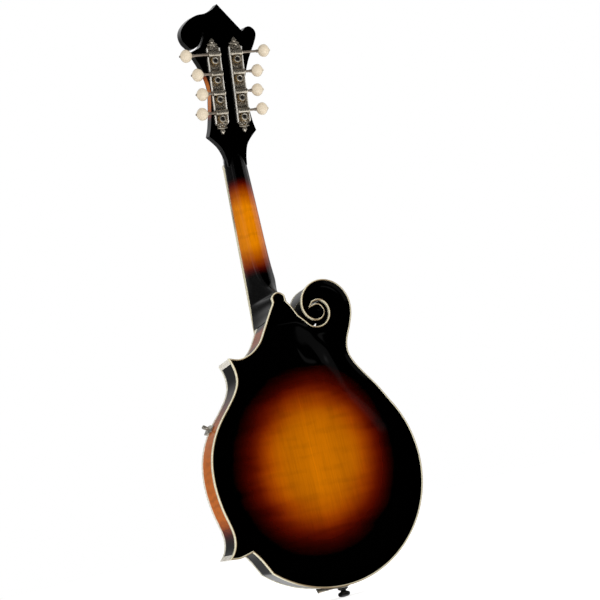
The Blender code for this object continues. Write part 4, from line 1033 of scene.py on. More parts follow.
def build_neck():
    wood = Shape().add(loft([neck_ring(z, 12) for z in NECK_ROWS]))
    riser = []
    for s, low, half in RISER:
        a = neck_at(-half, s, BOARD_T - 0.1)
        b = neck_at(half, s, BOARD_T - 0.1)
        riser.append([a, b, Vector((half, low, b.z)), Vector((-half, low, a.z))])
    wood.add(loft(riser))
    piece("v_neck", wood, NECK_WOOD, ["neck"], crease=42)

    outline = head_outline(2.4)
    holes = [ring((side * POST_X, s), 3.5, 20) for side in (-1, 1) for s in POST_S]
    data = flat_data(outline, holes, HEAD_FRONT + 0.3, HEAD_BACK, head_at)
    piece("v_headstock", data, NECK_WOOD, slot="dark_lacquer", bevel=1.3, segments=3)
    face = [tuple(p) for p in offset(outline, -0.06)]
    data = flat_data(face, holes, HEAD_FRONT, HEAD_FRONT + VENEER_T, head_at)
    piece("v_headstock_veneer", data, LACQUER, ["headstock_veneer"], bevel=0.25)

    leaves = Shape()
    for x, s, reach, wide, turn in HEAD_LEAVES:
        a = radians(turn)
        loop = []
        for side in (1, -1):
            for k in range(10):
                t = k / 10 if side > 0 else 1 - k / 10
                u = reach * (2 * t - 1) / 2
                v = side * wide / 2 * sin(pi * t) ** 0.8 if 0 < t < 1 else 0.0
                loop.append((x + u * cos(a) - v * sin(a), s + u * sin(a) + v * cos(a)))
        leaves.add(flat_data(loop, [], HEAD_FRONT - 0.05, HEAD_FRONT + 0.6, head_at))
    piece("v_head_inlay", leaves, PEARL, slot="bone")

    loop = spline(ROD_COVER[1:6], 1.6) + spline(ROD_COVER[5:] + ROD_COVER[:1], 1.6) + ROD_COVER[:1]
    cover_face = HEAD_FRONT - GAP - 1.6
    data = flat_data(loop, [], cover_face, HEAD_FRONT - 0.02, head_at)
    piece("v_truss_rod_cover", data, BLACK_PLASTIC, ["truss_rod_cover"], bevel=0.5)
    screws = Shape()
    for x, s in ((-4.4, 13.0), (4.4, 13.0), (0.0, 38.5)):
        screws.add(screw_data(lambda a, u, v: head_at(x + u, s + v, cover_face - a), 1.3, 0.7))
    piece("v_cover_screws", screws, NICKEL, slot="nickel", crease=30)


def screw_data(place, radius, height):
    """Slotted round-head screw: two half domes with a gap between them, on a low disc."""
    disc = [(-0.3, 0), (-0.3, radius), (height * 0.35, radius), (height * 0.35, 0)]
    data = Shape().add(turned(disc, 20, place))
    for side in (-1, 1):
        rows = []
        for k in range(5):
            t = k / 4
            across = side * radius * (0.14 + 0.80 * t)
            round_off = max(0.0004, 1 - (across / radius) ** 2) ** 0.5
            tall, half = height * round_off, radius * round_off
            foot, flank, crown = height * 0.2, height * 0.3 + tall * 0.5, height * 0.35 + tall * 0.65
            rows.append([place(a, across, half * b) for a, b in
                         ((foot, -1), (foot, 1), (flank, 0.7), (crown, 0), (flank, -0.7))])
        data.add(loft(rows))
    return data.verts, data.faces


BOARD_END = [(half_width(-66), -66), (14.0, -68.5), (8.5, -63.0), (2.5, -58.5), (-4.5, -58.0), (-10.0, -54.5),
             (-14.5, -50.0), (-half_width(-49), -49)]


LAST_FRET = 25
DOT_FRETS = (5, 7, 10, 12, 15)
SLOT_REACH = 0.5


def build_board():
    loop = [(-NUT_HALF, NUT_S - 0.05), (NUT_HALF, NUT_S - 0.05)]
    loop += [(half_width(s), s) for s in range(180, -66, -20)]
    loop += spline(BOARD_END, 1.5) + [BOARD_END[-1]]
    loop += [(-half_width(s), s) for s in range(-40, 200, 20)]
    inner = inset(loop, 1.3)
    piece("v_fingerboard", flat_data(inner, [], 0.0, BOARD_T, neck_at), EBONY, ["fingerboard"])
    data = flat_data(loop, [inner], 0.0, BOARD_T, neck_at)
    piece("v_fingerboard_binding", data, IVOROID, slot="ivoroid", bevel=0.3)

    # a fret runs as far as the board is wide at its place, and is skipped past the board's end
    frets = Shape()
    section = ((-1.0, 0.2), (-0.85, -0.45), (-0.4, -0.85), (0.4, -0.85), (0.85, -0.45), (1.0, 0.2))
    places = []
    for n in range(1, LAST_FRET + 1):
        s = NUT_S - SCALE * (1 - 2 ** (-n / 12))
        places.append(s)
        xs = np.arange(-19.0, 19.01, 0.25)
        on = xs[inside([(x, s) for x in xs], loop)]
        if len(on) < 12:
            continue
        x0, x1 = on[0] + 0.2, on[-1] - 0.2
        rows = []
        for x, squeeze in ((x0, 0.55), (x0 + 0.7, 1.0), (x1 - 0.7, 1.0), (x1, 0.55)):
            rows.append([neck_at(x, s + u, off if off > 0 else off * squeeze) for u, off in section])
        frets.add(loft(rows))
    piece("v_frets", frets, STEEL, slot="steel", crease=50)

    dots = Shape()
    side_dots = Shape()
    for n in DOT_FRETS:
        s = (places[n - 1] + places[n - 2]) / 2
        for x in ((-5.6, 5.6) if n == 12 else (0.0,)):
            dots.add(flat_data(ring((x, s), 2.6, 28), [], -0.04, 0.6, neck_at))
        side_dots.add(turned([(-0.06, 0), (-0.06, 0.7), (0.6, 0.7), (0.6, 0)], 14,
                             lambda a, u, v: neck_at(-half_width(s) + a, s + u, 1.0 + v)))
    piece("v_fret_dots", dots, PEARL, slot="bone")
    piece("v_side_dots", side_dots, BLACK_PLASTIC, slot="black_plastic")

    rows = []
    xs = [-NUT_HALF]
    for x in STRING_X_NUT:
        xs += [x - 0.55, x - 0.4, x + 0.4, x + 0.55]
    for x in xs + [NUT_HALF]:
        deep = 0.75 if any(abs(x - q) < SLOT_REACH for q in STRING_X_NUT) else 0.0
        rows.append([neck_at(x, NUT_S + s, off) for s, off in
                     ((0, 5.2), (0, -1.9 + deep), (0.5, -2.1 + deep), (1.7, -2.0 + deep),
                      (4.0, 0.2 + deep * 0.6), (4.0, 3.4))])
    piece("v_nut", loft(rows), BONE, ["nut"])


# ---------------------------------------------------------------- machine heads
def worm_at(side, s_gear):
    """Places round a key's axis, from the distance outwards along it."""
    def at(a, u, v):
        return head_at(side * (POST_X + a), s_gear + WORM_OFFSET + u, WORM_OFF + v)
    return at


def build_key(label, side, k):
    """One worm, its shaft and its button."""
    s_gear, reach = POST_S[k], BUTTON_REACH[k]
    at = worm_at(side, s_gear)
    tag = label + "_" + str(k + 1)
    columns = 20
    worm_half, worm_root, worm_tooth = 4.2, 1.8, 1.0
    rows = []
    for i in range(-42, 43):
        a = i * 0.1
        fade = float(ease(worm_half - abs(a), 0.0, 0.9))
        radii = []
        for j in range(columns):
            phase = (a / WORM_PITCH - j / columns) % 1
            tooth = float(ease(1 - min(phase, 1 - phase) / 0.36, 0.0, 0.8))
            radii.append(worm_root + worm_tooth * tooth * fade)
        rows.append([at(a, r * cos(2 * pi * j / columns + pi), r * sin(2 * pi * j / columns + pi))
                     for j, r in enumerate(radii)])
    shaft = Shape().add(loft(rows))
    start = reach - 6.4
    profile = [(-7.3, 0), (-7.3, 1.1), (-6.9, 1.5), (-4.1, 1.5), (4.1, 1.5), (6.0, 1.5), (6.1, 1.75),
               (7.6, 1.75), (7.8, 1.5), (start - 3.4, 1.5), (start - 3.1, 1.95), (start - 1.3, 1.95),
               (start - 1.1, 1.6), (start - 0.2, 1.6), (start, 2.1), (start + 1.0, 2.1), (start + 1.0, 0)]
    shaft.add(turned(profile, 24, at))
    if side > 0:
        shaft.add(turned([(reach + 6.2, 0), (reach + 6.2, 1.6), (reach + 7.6, 1.5), (reach + 8.5, 1.0),
                          (reach + 8.8, 0)], 20, at))
    piece("v_worm_" + tag, shaft, SHAFT_NICKEL, ["worm_shaft_" + tag], on="tuner_key_" + tag)
    profile = [(-6.4, 0), (-6.4, 1.9), (-5.8, 2.8), (-5.0, 3.9), (-4.0, 5.0), (-2.8, 5.9), (-1.2, 6.5),
               (0.6, 6.75), (2.2, 6.45), (3.6, 5.6), (4.8, 4.4), (5.8, 3.0), (6.5, 1.9)]
    profile += [(7.4, 1.2), (7.9, 0.7), (8.0, 0)] if side < 0 else [(6.9, 1.2), (6.9, 0)]
    data = turned([(reach + a * 1.10, r * 1.15) for a, r in profile], 40, at)
    piece("v_button_" + tag, data, BUTTON_IVORY, ["button_" + tag], on="tuner_key_" + tag, crease=60)


def build_roller(label, side, k):
    """One gear and string post, with the end of its string wound on."""
    s_gear = POST_S[k]
    tag = label + "_" + str(k + 1)
    roller = "string_roller_" + tag

    def at(off, u, v):
        return head_at(side * POST_X + u, s_gear + v, off)

    profile = [(-11.0, 0), (-11.0, 2.4), (-10.7, 2.75), (-10.2, 2.9), (-7.6, 2.9), (-7.2, 2.7),
               (-6.6, POST_WAIST), (-4.6, POST_WAIST), (-4.0, 2.7), (-3.4, 3.0), (16.0, 3.0), (20.0, 3.0), (20.0, 0)]
    piece("v_post_" + tag, turned(profile, 28, at), NICKEL, ["string_post_" + tag], on=roller)

    tooth = ((-0.30, 4.35), (-0.20, 4.5), (-0.12, 5.1), (-0.07, 5.3), (0.07, 5.3), (0.12, 5.1), (0.20, 4.5),
             (0.30, 4.35))
    rows = []
    for off, shrink in ((-1.8, 0.25), (-1.5, 0.0), (1.3, 0.0), (1.6, 0.25)):
        row = []
        for t in range(TEETH):
            for share, radius in tooth:
                a = pi / 2 + 2 * pi * (t + 0.5 + share) / TEETH
                row.append(at(WORM_OFF + off, (radius - shrink) * cos(a), (radius - shrink) * sin(a)))
        rows.append(row)
    piece("v_gear_" + tag, loft(rows), BRASS, slot="brass", on=roller, crease=30)
    top = WORM_OFF + 1.55
    collar = hoop([(top, 2.5), (top, 4.25), (top + 0.5, 4.25), (top + 1.0, 3.95), (top + 1.15, 3.4),
                   (top + 1.0, 2.85), (top + 0.5, 2.5)], 36, at)
    piece("v_collar_" + tag, collar, NICKEL, slot="nickel", on=roller, crease=50)
    profile = [(top - 0.6, 0), (top - 0.6, 2.45), (top + 0.12, 2.4), (top + 0.3, 2.0), (top + 0.32, 0)]
    piece("v_gear_screw_" + tag, turned(profile, 24, at), SHADOWED_STEEL, slot="steel", on=roller)

    string = 3 - k if side < 0 else 4 + k
    r = STRING_R[string]
    coil = []
    for i in range(61):
        a = 2 * pi * i / 20 + (pi if side > 0 else 0)
        off = WIND_OFF - 0.35 + i / 60 * 0.95
        coil.append(at(off, (POST_WAIST + r) * cos(a), -side * (POST_WAIST + r) * sin(a)))
    finish, slot = (BRONZE_WIRE, "bronze") if string < 4 else (PLAIN_WIRE, "steel")
    piece("v_winding_" + tag, tube(coil, r, 8), finish, slot=slot, on=roller, crease=60)


PLATE_EDGE = [(0.0, -16.4), (2.6, -15.2), (2.0, -12.8), (6.4, -10.6), (5.6, -8.8), (8.2, -6.6), (8.2, 12.0),
              (8.2, 36.0), (8.2, 60.0), (8.2, 85.6), (5.6, 88.0), (6.4, 89.8), (2.0, 92.0), (2.6, 94.4),
              (0.0, 95.6)]
# low walls along the plate: height, and the runs between the keys on the outer side
FLANGE_H = 3.4
FLANGE_RUNS = [(-5.8, 5.0), (10.0, 28.2), (33.2, 51.4), (56.4, 74.6), (79.6, 84.8)]


# domes of the stamped ornament between two keys: across, along, then their half sizes
ORNAMENT = ((0.0, -8.6, 1.3, 2.2, 1.3), (-2.7, -8.0, 1.2, 2.1, 1.2), (2.7, -8.0, 1.2, 2.1, 1.2),
            (-5.0, -6.4, 1.2, 1.8, 1.1), (5.0, -6.4, 1.2, 1.8, 1.1), (-1.4, -11.2, 0.8, 0.8, 0.9),
            (1.4, -11.2, 0.8, 0.8, 0.9), (-5.9, -9.8, 0.9, 1.4, 1.0), (5.9, -9.8, 0.9, 1.4, 1.0))


def build_machine_plate(label, side):
    """Base plate of four keys with its walls, straps, ornament and the bushings in front."""
    base = POST_S[-1]
    top = HEAD_BACK + 1.0

    def at(u, s, h):
        return head_at(side * POST_X + side * u, base + s, top + h)

    edge = [(side * (POST_X + x), base + s) for x, s in PLATE_EDGE]
    edge += [(side * (POST_X - x), base + s) for x, s in PLATE_EDGE[-2:0:-1]]
    holes = [ring((side * POST_X, s), 3.2, 24) for s in POST_S]
    plate = flat_data(edge, holes, HEAD_BACK + 0.02, top, head_at)
    piece("v_tuner_plate_" + label, plate, ENGRAVED, ["tuner_plate_" + label], bevel=0.2)

    walls = Shape()
    runs = [(*run, 7.4) for run in FLANGE_RUNS] + [(FLANGE_RUNS[0][0], FLANGE_RUNS[-1][1], -8.15)]
    for low, high, near in runs:
        edge_h, crown_h = FLANGE_H * 0.55, FLANGE_H - 0.4
        profile = [(low, -0.5), (low, edge_h), (low + 0.9, crown_h), (high - 0.9, crown_h), (high, edge_h),
                   (high, -0.5)]
        walls.add(loft([[at(u, s, h) for s, h in profile] for u in (near, near + 0.75)]))
    piece("v_tuner_walls_" + label, walls, WALL_NICKEL, slot="nickel", crease=35, bevel=0.15)

    # straps over the worms, open on the side where the gear turns
    straps = Shape()
    axis = WORM_OFF - top
    for k, s_gear in enumerate(POST_S):
        s_axis = s_gear - base + WORM_OFFSET
        for u0, u1, first in ((-7.3, -3.7, 0.0), (-3.7, 3.7, 48.0), (3.7, 7.3, 0.0)):
            turns = [radians(first + (180 - first) * j / 8) for j in range(9)]
            loop = [(-3.5 * cos(a), 3.5 * sin(a)) for a in turns]
            loop += [(-3.05 * cos(a), 3.05 * sin(a)) for a in turns[::-1]]
            straps.add(loft([[at(u, s_axis + p, axis + q) for p, q in loop] for u in (u0, u1)]))
        for u in (-6.9, 6.9):
            lobe = [(-3.8, -0.2), (-3.8, 0.6), (-3.6, axis), (-2.5, axis + 2.8), (0, axis + 3.9),
                    (2.5, axis + 2.8), (3.6, axis), (3.8, 0.6), (3.8, -0.2)]
            straps.add(loft([[at(u + e, s_axis + p, q) for p, q in lobe] for e in (-0.55, 0.55)]))
        for u in (-4.6, -2.3, 0.0, 2.3, 4.6):
            straps.add(pearl((u, s_axis + 0.4, axis + 3.3), (0.85, 1.7, 0.8), at, 12, 3))
    piece("v_tuner_straps_" + label, straps, RELIEF_NICKEL, slot="nickel")

    relief = Shape()
    for k, s_gear in enumerate(POST_S):
        g = s_gear - base
        if k < 3:
            for u, s, wide, tall, high in ORNAMENT:
                relief.add(pearl((u, g + s, 0.0), (wide, tall, high), at, 12, 3))
        for u, s in ((-6.2, 3.0), (6.2, 3.0), (-6.5, -1.2), (6.5, -1.2)):
            relief.add(pearl((u, g + s, 0.0), (0.8, 1.5, 0.9), at, 12, 3))
    for end, s0 in ((1, 84.5), (-1, -6.6)):
        relief.add(hoop([(0.0, 2.3), (0.0, 3.9), (0.5, 3.9), (1.0, 3.1), (0.5, 2.3)], 28,
                        lambda a, u, v: at(u, s0 + end * 0.6 + v, a)))
        relief.add(pearl((0, s0 + end * 0.6, 0.0), (1.5, 1.5, 1.2), at, 16, 4))
        for u in (-4.6, 4.6):
            relief.add(pearl((u, s0 - end * 0.4, 0.0), (1.3, 1.3, 1.2), at, 14, 3))
        bar = s0 + end * 4.4
        rows = []
        for u, tall, high in ((-6.6, 0.25, 0.3), (-4.6, 0.9, 0.9), (-2.0, 1.3, 1.7), (0, 1.5, 2.0),
                              (2.0, 1.3, 1.7), (4.6, 0.9, 0.9), (6.6, 0.25, 0.3)):
            rows.append([at(u, bar + tall * cos(a), -0.3 + (high + 0.3) * max(0.0, sin(a)))
                         for a in [pi * j / 8 for j in range(9)]])
        relief.add(loft(rows))
        knob = []
        for t, wide in ((0.0, 1.7), (0.8, 2.5), (1.8, 3.1), (2.9, 3.1), (4.0, 2.5), (5.0, 1.7), (5.8, 1.0),
                        (6.4, 0.35)):
            tall = min(2.2, wide * 0.8)
            knob.append([at(wide * cos(a), bar + end * (1.2 + t), -0.4 + (tall + 0.4) * max(0.0, sin(a)))
                         for a in [pi * j / 10 for j in range(11)]])
        relief.add(loft(knob))
    piece("v_tuner_relief_" + label, relief, RELIEF_NICKEL, slot="nickel", crease=45)

    bushings = Shape()
    for s in POST_S:
        bushings.add(hoop([(HEAD_FRONT + 0.3, 3.05), (HEAD_FRONT - 1.1, 3.05), (HEAD_FRONT - 1.3, 3.4),
                           (HEAD_FRONT - 1.1, 4.1), (HEAD_FRONT - 0.4, 4.9), (HEAD_FRONT + 0.3, 5.0)], 32,
                          lambda a, u, v: head_at(side * POST_X + u, s + v, a)))
    piece("v_bushings_" + label, bushings, NICKEL, slot="nickel", crease=50)


# ---------------------------------------------------------------- bridge, tailpiece, fittings
TOP_AT_BRIDGE = -SIDE - arch(TOP_CARVE, 0, BRIDGE_Z)
WHEEL_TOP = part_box("thumbwheel_bass")[1][1] / MM
WHEEL_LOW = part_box("thumbwheel_bass")[0][1] / MM
WHEEL_SIDES = 80


def build_bridge():
    """Foot on the top, two posts with thumbwheels, and the saddle that rides on the wheels."""
    rows = []
    half_length = 58
    for x in range(-half_length, half_length + 1, 2):
        t = abs(x) / half_length
        foot = -SIDE - max(arch(TOP_CARVE, x, BRIDGE_Z + e) for e in (-6, 0, 6)) - 0.05
        hollow = 1.6 * float(ease(24 - abs(x), 0, 16))
        tall = 3.2 + 3.4 * (1 - t) if t < 0.95 else 2.6
        half = 5.5 - 1.1 * float(ease(t, 0.8, 1.0))
        top = foot - tall
        rows.append([body(x, y, BRIDGE_Z + z) for y, z in
                     ((foot - hollow, -half), (foot - hollow, half), (top + 1.0, half - 0.7),
                      (top, half - 1.9), (top, 1.9 - half), (top + 1.0, 0.7 - half))])
    piece("v_bridge_base", loft(rows), EBONY, ["bridge_base"])
    posts = Shape()
    for x in (-WHEEL_X, WHEEL_X):
        profile = [(TOP_AT_BRIDGE - 0.6, 0), (TOP_AT_BRIDGE - 0.6, 1.6)]
        end = WHEEL_LOW + 0.9
        y = TOP_AT_BRIDGE - 1.2
        while y > end + 0.6:
            profile += [(y, 1.62), (y - 0.25, 1.36)]
            y -= 0.5
        profile += [(end + 0.3, 1.4), (end, 1.0), (end, 0)]
        posts.add(turned(profile, 20, lambda a, u, v: body(x + u, a, BRIDGE_Z + v)))
    piece("v_bridge_posts", posts, BRASS, slot="brass", crease=50)

    for x, label in ((-WHEEL_X, "bass"), (WHEEL_X, "treble")):
        verts, faces = [], []
        profile = ((WHEEL_TOP, 4.6, 0.28), (WHEEL_TOP - 0.35, 5.15, 0.28), (WHEEL_LOW + 0.35, 5.15, 0.28),
                   (WHEEL_LOW, 4.6, 0.28), (WHEEL_LOW, 1.9, 0.0), (WHEEL_TOP, 1.9, 0.0))
        for i, (y, r, knurl) in enumerate(profile):
            after = (i + 1) % len(profile)
            for k in range(WHEEL_SIDES):
                reach = r - (0.0 if k % 2 else knurl)
                a = 2 * pi * k / WHEEL_SIDES
                verts.append(body(x + reach * cos(a), y, BRIDGE_Z + reach * sin(a)))
                n = (k + 1) % WHEEL_SIDES
                faces.append([i * WHEEL_SIDES + k, i * WHEEL_SIDES + n, after * WHEEL_SIDES + n,
                              after * WHEEL_SIDES + k])
        piece("v_thumbwheel_" + label, (verts, faces), BRASS, ["thumbwheel_" + label], on="wheel_" + label,
              crease=30)

    low = WHEEL_LOW - GAP
    crest = ((0, SADDLE_TOP), (12, SADDLE_TOP + 0.3), (24, SADDLE_TOP + 0.9), (30, low - 5.0),
             (35, low - 4.2), (38, low - 3.0))
    crest = tuple((-x, y) for x, y in crest[:0:-1]) + crest
    underside = ((-38, low), (-26, low), (-20, low - 1.0), (0, low - 2.2), (20, low - 1.0), (26, low),
                 (38, low))
    xs = [x + e for x in STRING_X_BRIDGE for e in (-0.6, -0.4, 0.4, 0.6)]
    xs = sorted([float(k) for k in range(-38, 39)] + xs)
    rows = []
    for x in xs:
        top = steady(crest, x)
        slot = 0.5 if any(abs(x - q) < SLOT_REACH for q in STRING_X_BRIDGE) else 0.0
        base = steady(underside, x)
        rows.append([body(x, y, BRIDGE_Z + z) for y, z in
                     ((base, -4), (base, 4), (base - 2.2, 4), (top + 0.7, 1.7), (top + slot, 0.8),
                      (top + slot, -0.8), (top + 0.7, -1.7), (base - 2.2, -4))])
    piece("v_bridge_saddle", loft(rows), EBONY, ["bridge_saddle"], on="saddle")


def build_tailpiece():
    """Foot round the end pin, the strip up to the hooks, and the sliding cover."""
    foot = [(-15.4, -30.2), (15.4, -30.2), (15.4, -13.0), (14.4, -12.0), (9.0, -12.0), (7.7, -10.6)]
    foot += arc((0.0, 2.0), 7.6, 0, 180, 1.2)
    foot += [(-7.6, 2.0), (-7.7, -10.6), (-9.0, -12.0), (-14.4, -12.0), (-15.4, -13.0)]
    metalwork = Shape().add(flat_data(foot, [ring((0.0, 0.0), 4.5, 32)], -1.7, -0.5, body))
    shape = [(-30.0, -0.5), (-30.0, -1.7), (-32.4, -0.6), (-33.4, 2.0), (-36.4, 52.0), (-38.8, 53.0),
             (-38.8, 54.2), (-35.4, 53.4), (-32.2, 2.6), (-31.2, 0.4)]
    metalwork.add(loft([[body(x, y, z) for y, z in shape] for x in (-15.4, -7.0, 7.0, 15.4)]))
    piece("v_tailpiece_base", metalwork, NICKEL, ["tailpiece_base"], bevel=0.25)
    screws = Shape()
    for x, y in ((-10.0, -20.0), (10.0, -20.0), (0.0, -24.0)):
        screws.add(screw_data(lambda a, u, v: body(x + u, y + v, -1.7 - a), 2.0, 1.1))
    piece("v_tailpiece_screws", screws, NICKEL, slot="nickel", crease=35)
    hooks = Shape()
    for xb in STRING_X_BRIDGE:
        x = xb * TAIL_SPREAD
        hooks.add(tube([(x, -37.0, 68.0), (x, TAIL_HOOK_Y, 67.6), (x, -39.7, 66.2), (x, -39.2, 64.6),
                        (x, -38.0, 64.2)], 0.55, 10))
    piece("v_tailpiece_hooks", hooks, NICKEL, slot="nickel", crease=60)

    # cover sections by z, depth of the middle and half width; the side lips end before its front
    stations = ((-3.6, -35.4, 18.6), (-1.6, -36.0, 19.5), (2.0, -36.8, 20.2), (12.0, -38.6, 20.6),
                (30.0, -40.6, 20.0), (48.0, -42.2, 18.4), (60.0, -43.0, 16.0), (64.0, -43.2, 15.0))
    shell = []
    for z, y, half in stations:
        outer, inner = [], []
        for k in range(17):
            t = k / 8 - 1
            fall = 1.4 * (1 - t * t)
            lip = 5.8 * float(ease(abs(t), 0.86, 1.0) * ease(58 - z, 0, 12))
            groove = 0.35 * exp(-((abs(t) - 0.74) / 0.05) ** 2)
            outer.append(body(half * t, y - fall + lip * 0.8 + groove, z))
            inner.append(body((half - 0.9) * t, y + 0.9 - fall + lip * 0.8 + groove, z))
        shell.append(outer + inner[::-1])
    piece("v_tailpiece_cover", loft(shell), NICKEL, ["tailpiece_cover"], on="cover", crease=35)


def build_fittings():
    """End pin, pickguard and the bracket that holds it to the side."""
    pin = [(-PIN, 0), (-PIN, 3.0), (-12.3, 4.4), (-11.3, 6.4), (-10.2, 7.0), (-9.1, 7.1), (-8.1, 6.8),
           (-7.3, 6.2), (-6.7, 4.8), (-6.2, 3.4), (-5.6, 3.1), (-5.1, 3.2), (-4.5, 4.6), (-4.1, 5.6),
           (-3.4, 6.0), (-2.2, 6.0), (-1.75, 5.8), (-1.7, 4.0), (20.0, 3.4), (20.0, 0)]
    piece("v_end_pin", turned(pin, 48, lambda a, u, v: body(u, v, a)), BLACK_PLASTIC, ["end_pin"], crease=50)

    guard = [(22.5, 286.0), (31.0, 287.0), (38.0, 279.0), (43.0, 262.0), (52.0, 246.0), (60.0, 232.0),
             (62.0, 214.0), (57.0, 196.0), (47.0, 182.0), (37.0, 176.0), (31.5, 180.0), (27.0, 196.0),
             (24.5, 220.0), (23.2, 250.0)]
    loop = [guard[0]] + spline(guard[1:] + [guard[0]], 2.5)
    piece("v_pickguard", flat_data(loop, [], -41.0, -39.4), BLACK_PLASTIC, ["pickguard"],
          bevel=0.5, segments=3)

    # strap over the edge to a foot on the side: place and depth, width direction, half width
    foot = (105.1, 204.8)
    out = (0.802, 0.598)
    up = Vector((0, 0, 1))
    along = Vector((-out[1], 0, out[0]))
    stops = [(53.0, 203.0, -38.2, up, 3.0), (90.0, 204.0, -37.7, up, 3.0), (99.0, 204.4, -37.0, up, 3.2),
             (103.6, 204.8, -35.4, (up * 2 + along).normalized(), 3.8)]
    stops += [(foot[0] + out[0] * a, foot[1] + out[1] * a, y, along, half) for a, y, half in
              ((1.4, -32.4, 4.6), (2.4, -29.0, 5.0), (2.5, -24.0, 5.2), (2.5, -17.0, 5.2), (2.3, -15.8, 5.0),
               (1.1, -14.4, 4.6), (0.9, -13.0, 4.3), (0.9, -8.6, 4.0), (0.9, -7.8, 3.2))]
    sections = []
    for k, (x, z, y, wide, half) in enumerate(stops):
        before = stops[max(0, k - 1)]
        after = stops[min(len(stops) - 1, k + 1)]
        run = Vector((after[0] - before[0], after[2] - before[2], after[1] - before[1]))
        thick = run.cross(wide).normalized() * 0.7
        centre = body(x, y, z)
        sections.append([centre + thick - wide * half, centre + thick + wide * half,
                         centre - thick + wide * half, centre - thick - wide * half])
    piece("v_pickguard_bracket", loft(sections), NICKEL, ["pickguard_bracket"], crease=50, bevel=0.25)

    def by_foot(y):
        def at(a, u, v):
            return body(foot[0] + out[0] * a, y + u, foot[1] + out[1] * a) + along * v
        return at

    at = by_foot(-19.0)
    rows = []
    for a, r, flute in ((2.6, 1.4, 0.0), (4.0, 1.4, 0.0), (4.2, 1.9, 0.0), (4.7, 2.35, 0.25),
                        (9.6, 2.35, 0.25), (10.3, 1.9, 0.1), (10.6, 1.2, 0.0)):
        reach = (r, r - flute) * 14
        rows.append([at(a, reach[k] * cos(pi * k / 14), reach[k] * sin(pi * k / 14)) for k in range(28)])
    piece("v_bracket_stud", loft(rows), NICKEL, slot="nickel", crease=28)
    at = by_foot(-11.0)
    data = screw_data(lambda a, u, v: at(1.6 + a, u, v), 1.9, 1.1)
    piece("v_bracket_screw", data, NICKEL, slot="nickel", crease=35)


def build_strings():
    """Each string from the tailpiece over saddle and nut to its post, two strings to a note."""
    names = ("g_1", "g_2", "d_1", "d_2", "a_1", "a_2", "e_1", "e_2")
    for k, name in enumerate(names):
        r = STRING_R[k]
        side, row = (-1, 3 - k) if k < 4 else (1, k - 4)
        xb, xn = STRING_X_BRIDGE[k], STRING_X_NUT[k]
        lift = abs(xb) * 0.03
        hook = body(xb * TAIL_SPREAD, TAIL_HOOK_Y - r, 56.0)
        saddle = body(xb, SADDLE_TOP - GAP - r + lift - 0.3, BRIDGE_Z)
        over_nut = -1.6 - GAP - r
        nut = neck_at(xn, NUT_S, over_nut)
        after = neck_at(xn, NUT_S + 2.2, over_nut)
        end = head_at(side * (POST_X - POST_WAIST - r), POST_S[row], WIND_OFF)
        points = [hook, saddle.lerp(hook, 0.02), saddle, saddle.lerp(nut, 0.01), nut.lerp(saddle, 0.003), nut,
                  after, end]
        finish = BRONZE_WIRE if k < 4 else PLAIN_WIRE
        piece("v_string_" + name, tube(points, r, 10), finish, ["string_" + name], crease=60)


build_body()
build_neck()
build_board()
for row_label, row_side in (("bass", -1), ("treble", 1)):
    build_machine_plate(row_label, row_side)
    for post in range(len(POST_S)):
        build_key(row_label, row_side, post)
        build_roller(row_label, row_side, post)
build_bridge()
build_tailpiece()
build_fittings()
build_strings()
# CAD solids that stay in view through the f-holes
for node in ("neck_block", "tail_block", "lining_back", "lining_top", "tone_bar_bass", "tone_bar_treble"):
    bpy.data.objects[node].data.materials[0] = RAW_WOOD
bpy.data.objects["truss_rod"].data.materials[0] = STEEL


# ---------------------------------------------------------------- light, floor and camera
WHITE = (1.0, 1.0, 1.0, 1.0)
AIM = (0.0, 0.0, 0.3)


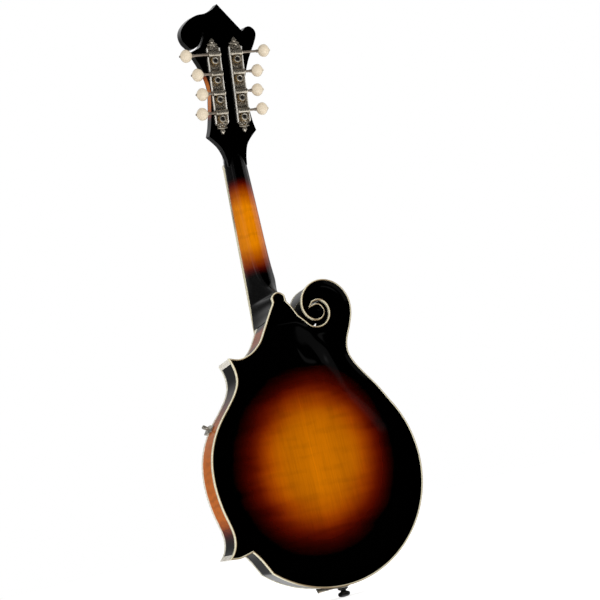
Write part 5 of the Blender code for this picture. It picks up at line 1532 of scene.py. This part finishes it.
def studio_world():
    """White backdrop; reflections see a bright room at the sides and a dark one behind the camera."""
    world = bpy.data.worlds.new("studio")
    bpy.context.scene.world = world
    world.use_nodes = True
    world.node_tree.nodes.clear()
    sky = Nodes(world.node_tree)
    x, y, z = sky.axes(sky.add("ShaderNodeTexCoord").outputs["Generated"])
    glow = sky.times(sky.span(z, -0.42, -0.02, 0.85, 0.0), sky.span(x, -0.15, 0.12, 1.0, 0.12))
    flank = sky.times(sky.span(x, -0.985, -0.90, 0.70, 0.0), sky.fade(z, 0.25, 0.40))
    room = sky.plus(sky.span(z, 0.15, 0.60, 0.12, 0.62), glow, flank)
    shine = sky.times(room, sky.span(x, 0.45, 0.80, 1.0, 0.15), sky.span(y, 0.0, 0.24, 1.0, 0.003))
    panel = sky.times(sky.span(z, 0.19, 0.23), sky.fade(x, -0.55, -0.42), sky.span(y, 0.47, 0.52, 0.07, 0.0))
    beside = sky.math("ABSOLUTE", sky.math("SUBTRACT", x, 0.80))
    lamp = sky.times(sky.fade(beside, 0.0, 0.06), sky.span(y, 0.28, 0.40), sky.span(z, 0.26, 0.34, 0.45, 0.9))
    crest = sky.times(sky.window(z, 0.26, 0.34, 0.52, 0.60), sky.window(y, 0.69, 0.74, 0.80, 0.85),
                      sky.span(x, -0.40, -0.34, 0.12, 0.0))
    # low sparks, which the domes of the metalwork catch
    sides = sky.plus(sky.span(x, 0.00, 0.08), sky.fade(x, -0.80, -0.72))
    spark = sky.math("MAXIMUM", sky.times(sky.fade(z, -0.60, -0.52), sides), sky.fade(z, -0.74, -0.68))
    spark = sky.times(spark, sky.span(y, 0.0, 0.1, 0.0, 1.6))
    shine = sky.plus(shine, panel, lamp, crest, spark)
    glossy, soft, white = [sky.add("ShaderNodeBackground", {0: WHITE, 1: strength}).outputs[0]
                           for strength in (shine, 0.5, 1.0)]
    ray = sky.add("ShaderNodeLightPath").outputs
    lit = sky.add("ShaderNodeMixShader", {0: ray["Is Glossy Ray"], 1: soft, 2: glossy}).outputs[0]
    seen = sky.add("ShaderNodeMixShader", {0: ray["Is Camera Ray"], 1: lit, 2: white}).outputs[0]
    sky.add("ShaderNodeOutputWorld", {0: seen})


def area_light(name, place, size, power):
    light = bpy.data.lights.new(name, "AREA")
    light.shape = "DISK"
    light.size = size
    light.energy = power
    obj = bpy.data.objects.new(name, light)
    bpy.context.scene.collection.objects.link(obj)
    obj.location = place
    obj.rotation_euler = (Vector(AIM) - Vector(place)).to_track_quat("-Z", "Y").to_euler()
    obj.visible_glossy = False


def studio_floor():
    mesh = bpy.data.meshes.new("floor")
    mesh.from_pydata([(-40, -40, 0), (40, -40, 0), (40, 40, 0), (-40, 40, 0)], [], [[0, 1, 2, 3]])
    floor = bpy.data.objects.new("floor", mesh)
    bpy.context.scene.collection.objects.link(floor)
    finish = Finish("floor_paper", Roughness=0.9, Emission_Color=WHITE, Emission_Strength=0.68)
    mottle = finish.noise(3, 2.0, 0.5)
    finish.colour(finish.ramp(mottle, [(0.3, (0.90, 0.90, 0.90)), (0.7, (0.93, 0.93, 0.93))]))
    mesh.materials.append(finish.material)
    floor.visible_glossy = False


def place_camera():
    place = Vector((0.507, 1.263, 0.0916))
    target = Vector((-0.0161, 0.0432, 0.3383))
    roll = radians(-13.96)
    data = bpy.data.cameras.new("camera")
    data.lens = 69.9
    data.sensor_width = 36.0
    camera = bpy.data.objects.new("camera", data)
    bpy.context.scene.collection.objects.link(camera)
    turn = (target - place).to_track_quat("-Z", "Y").to_matrix() @ Matrix.Rotation(roll, 3, "Z")
    camera.matrix_world = Matrix.Translation(place) @ turn.to_4x4()
    bpy.context.scene.camera = camera


studio_world()
studio_floor()
area_light("key", (0.7, 1.9, 1.5), 1.2, 17.0)
area_light("fill", (-1.5, 1.3, 0.6), 1.2, 6.0)
area_light("front", (-0.6, -1.9, 1.4), 1.4, 18.0)
place_camera()
bpy.context.scene.view_settings.view_transform = "Standard"
bpy.context.scene.view_settings.look = "None"
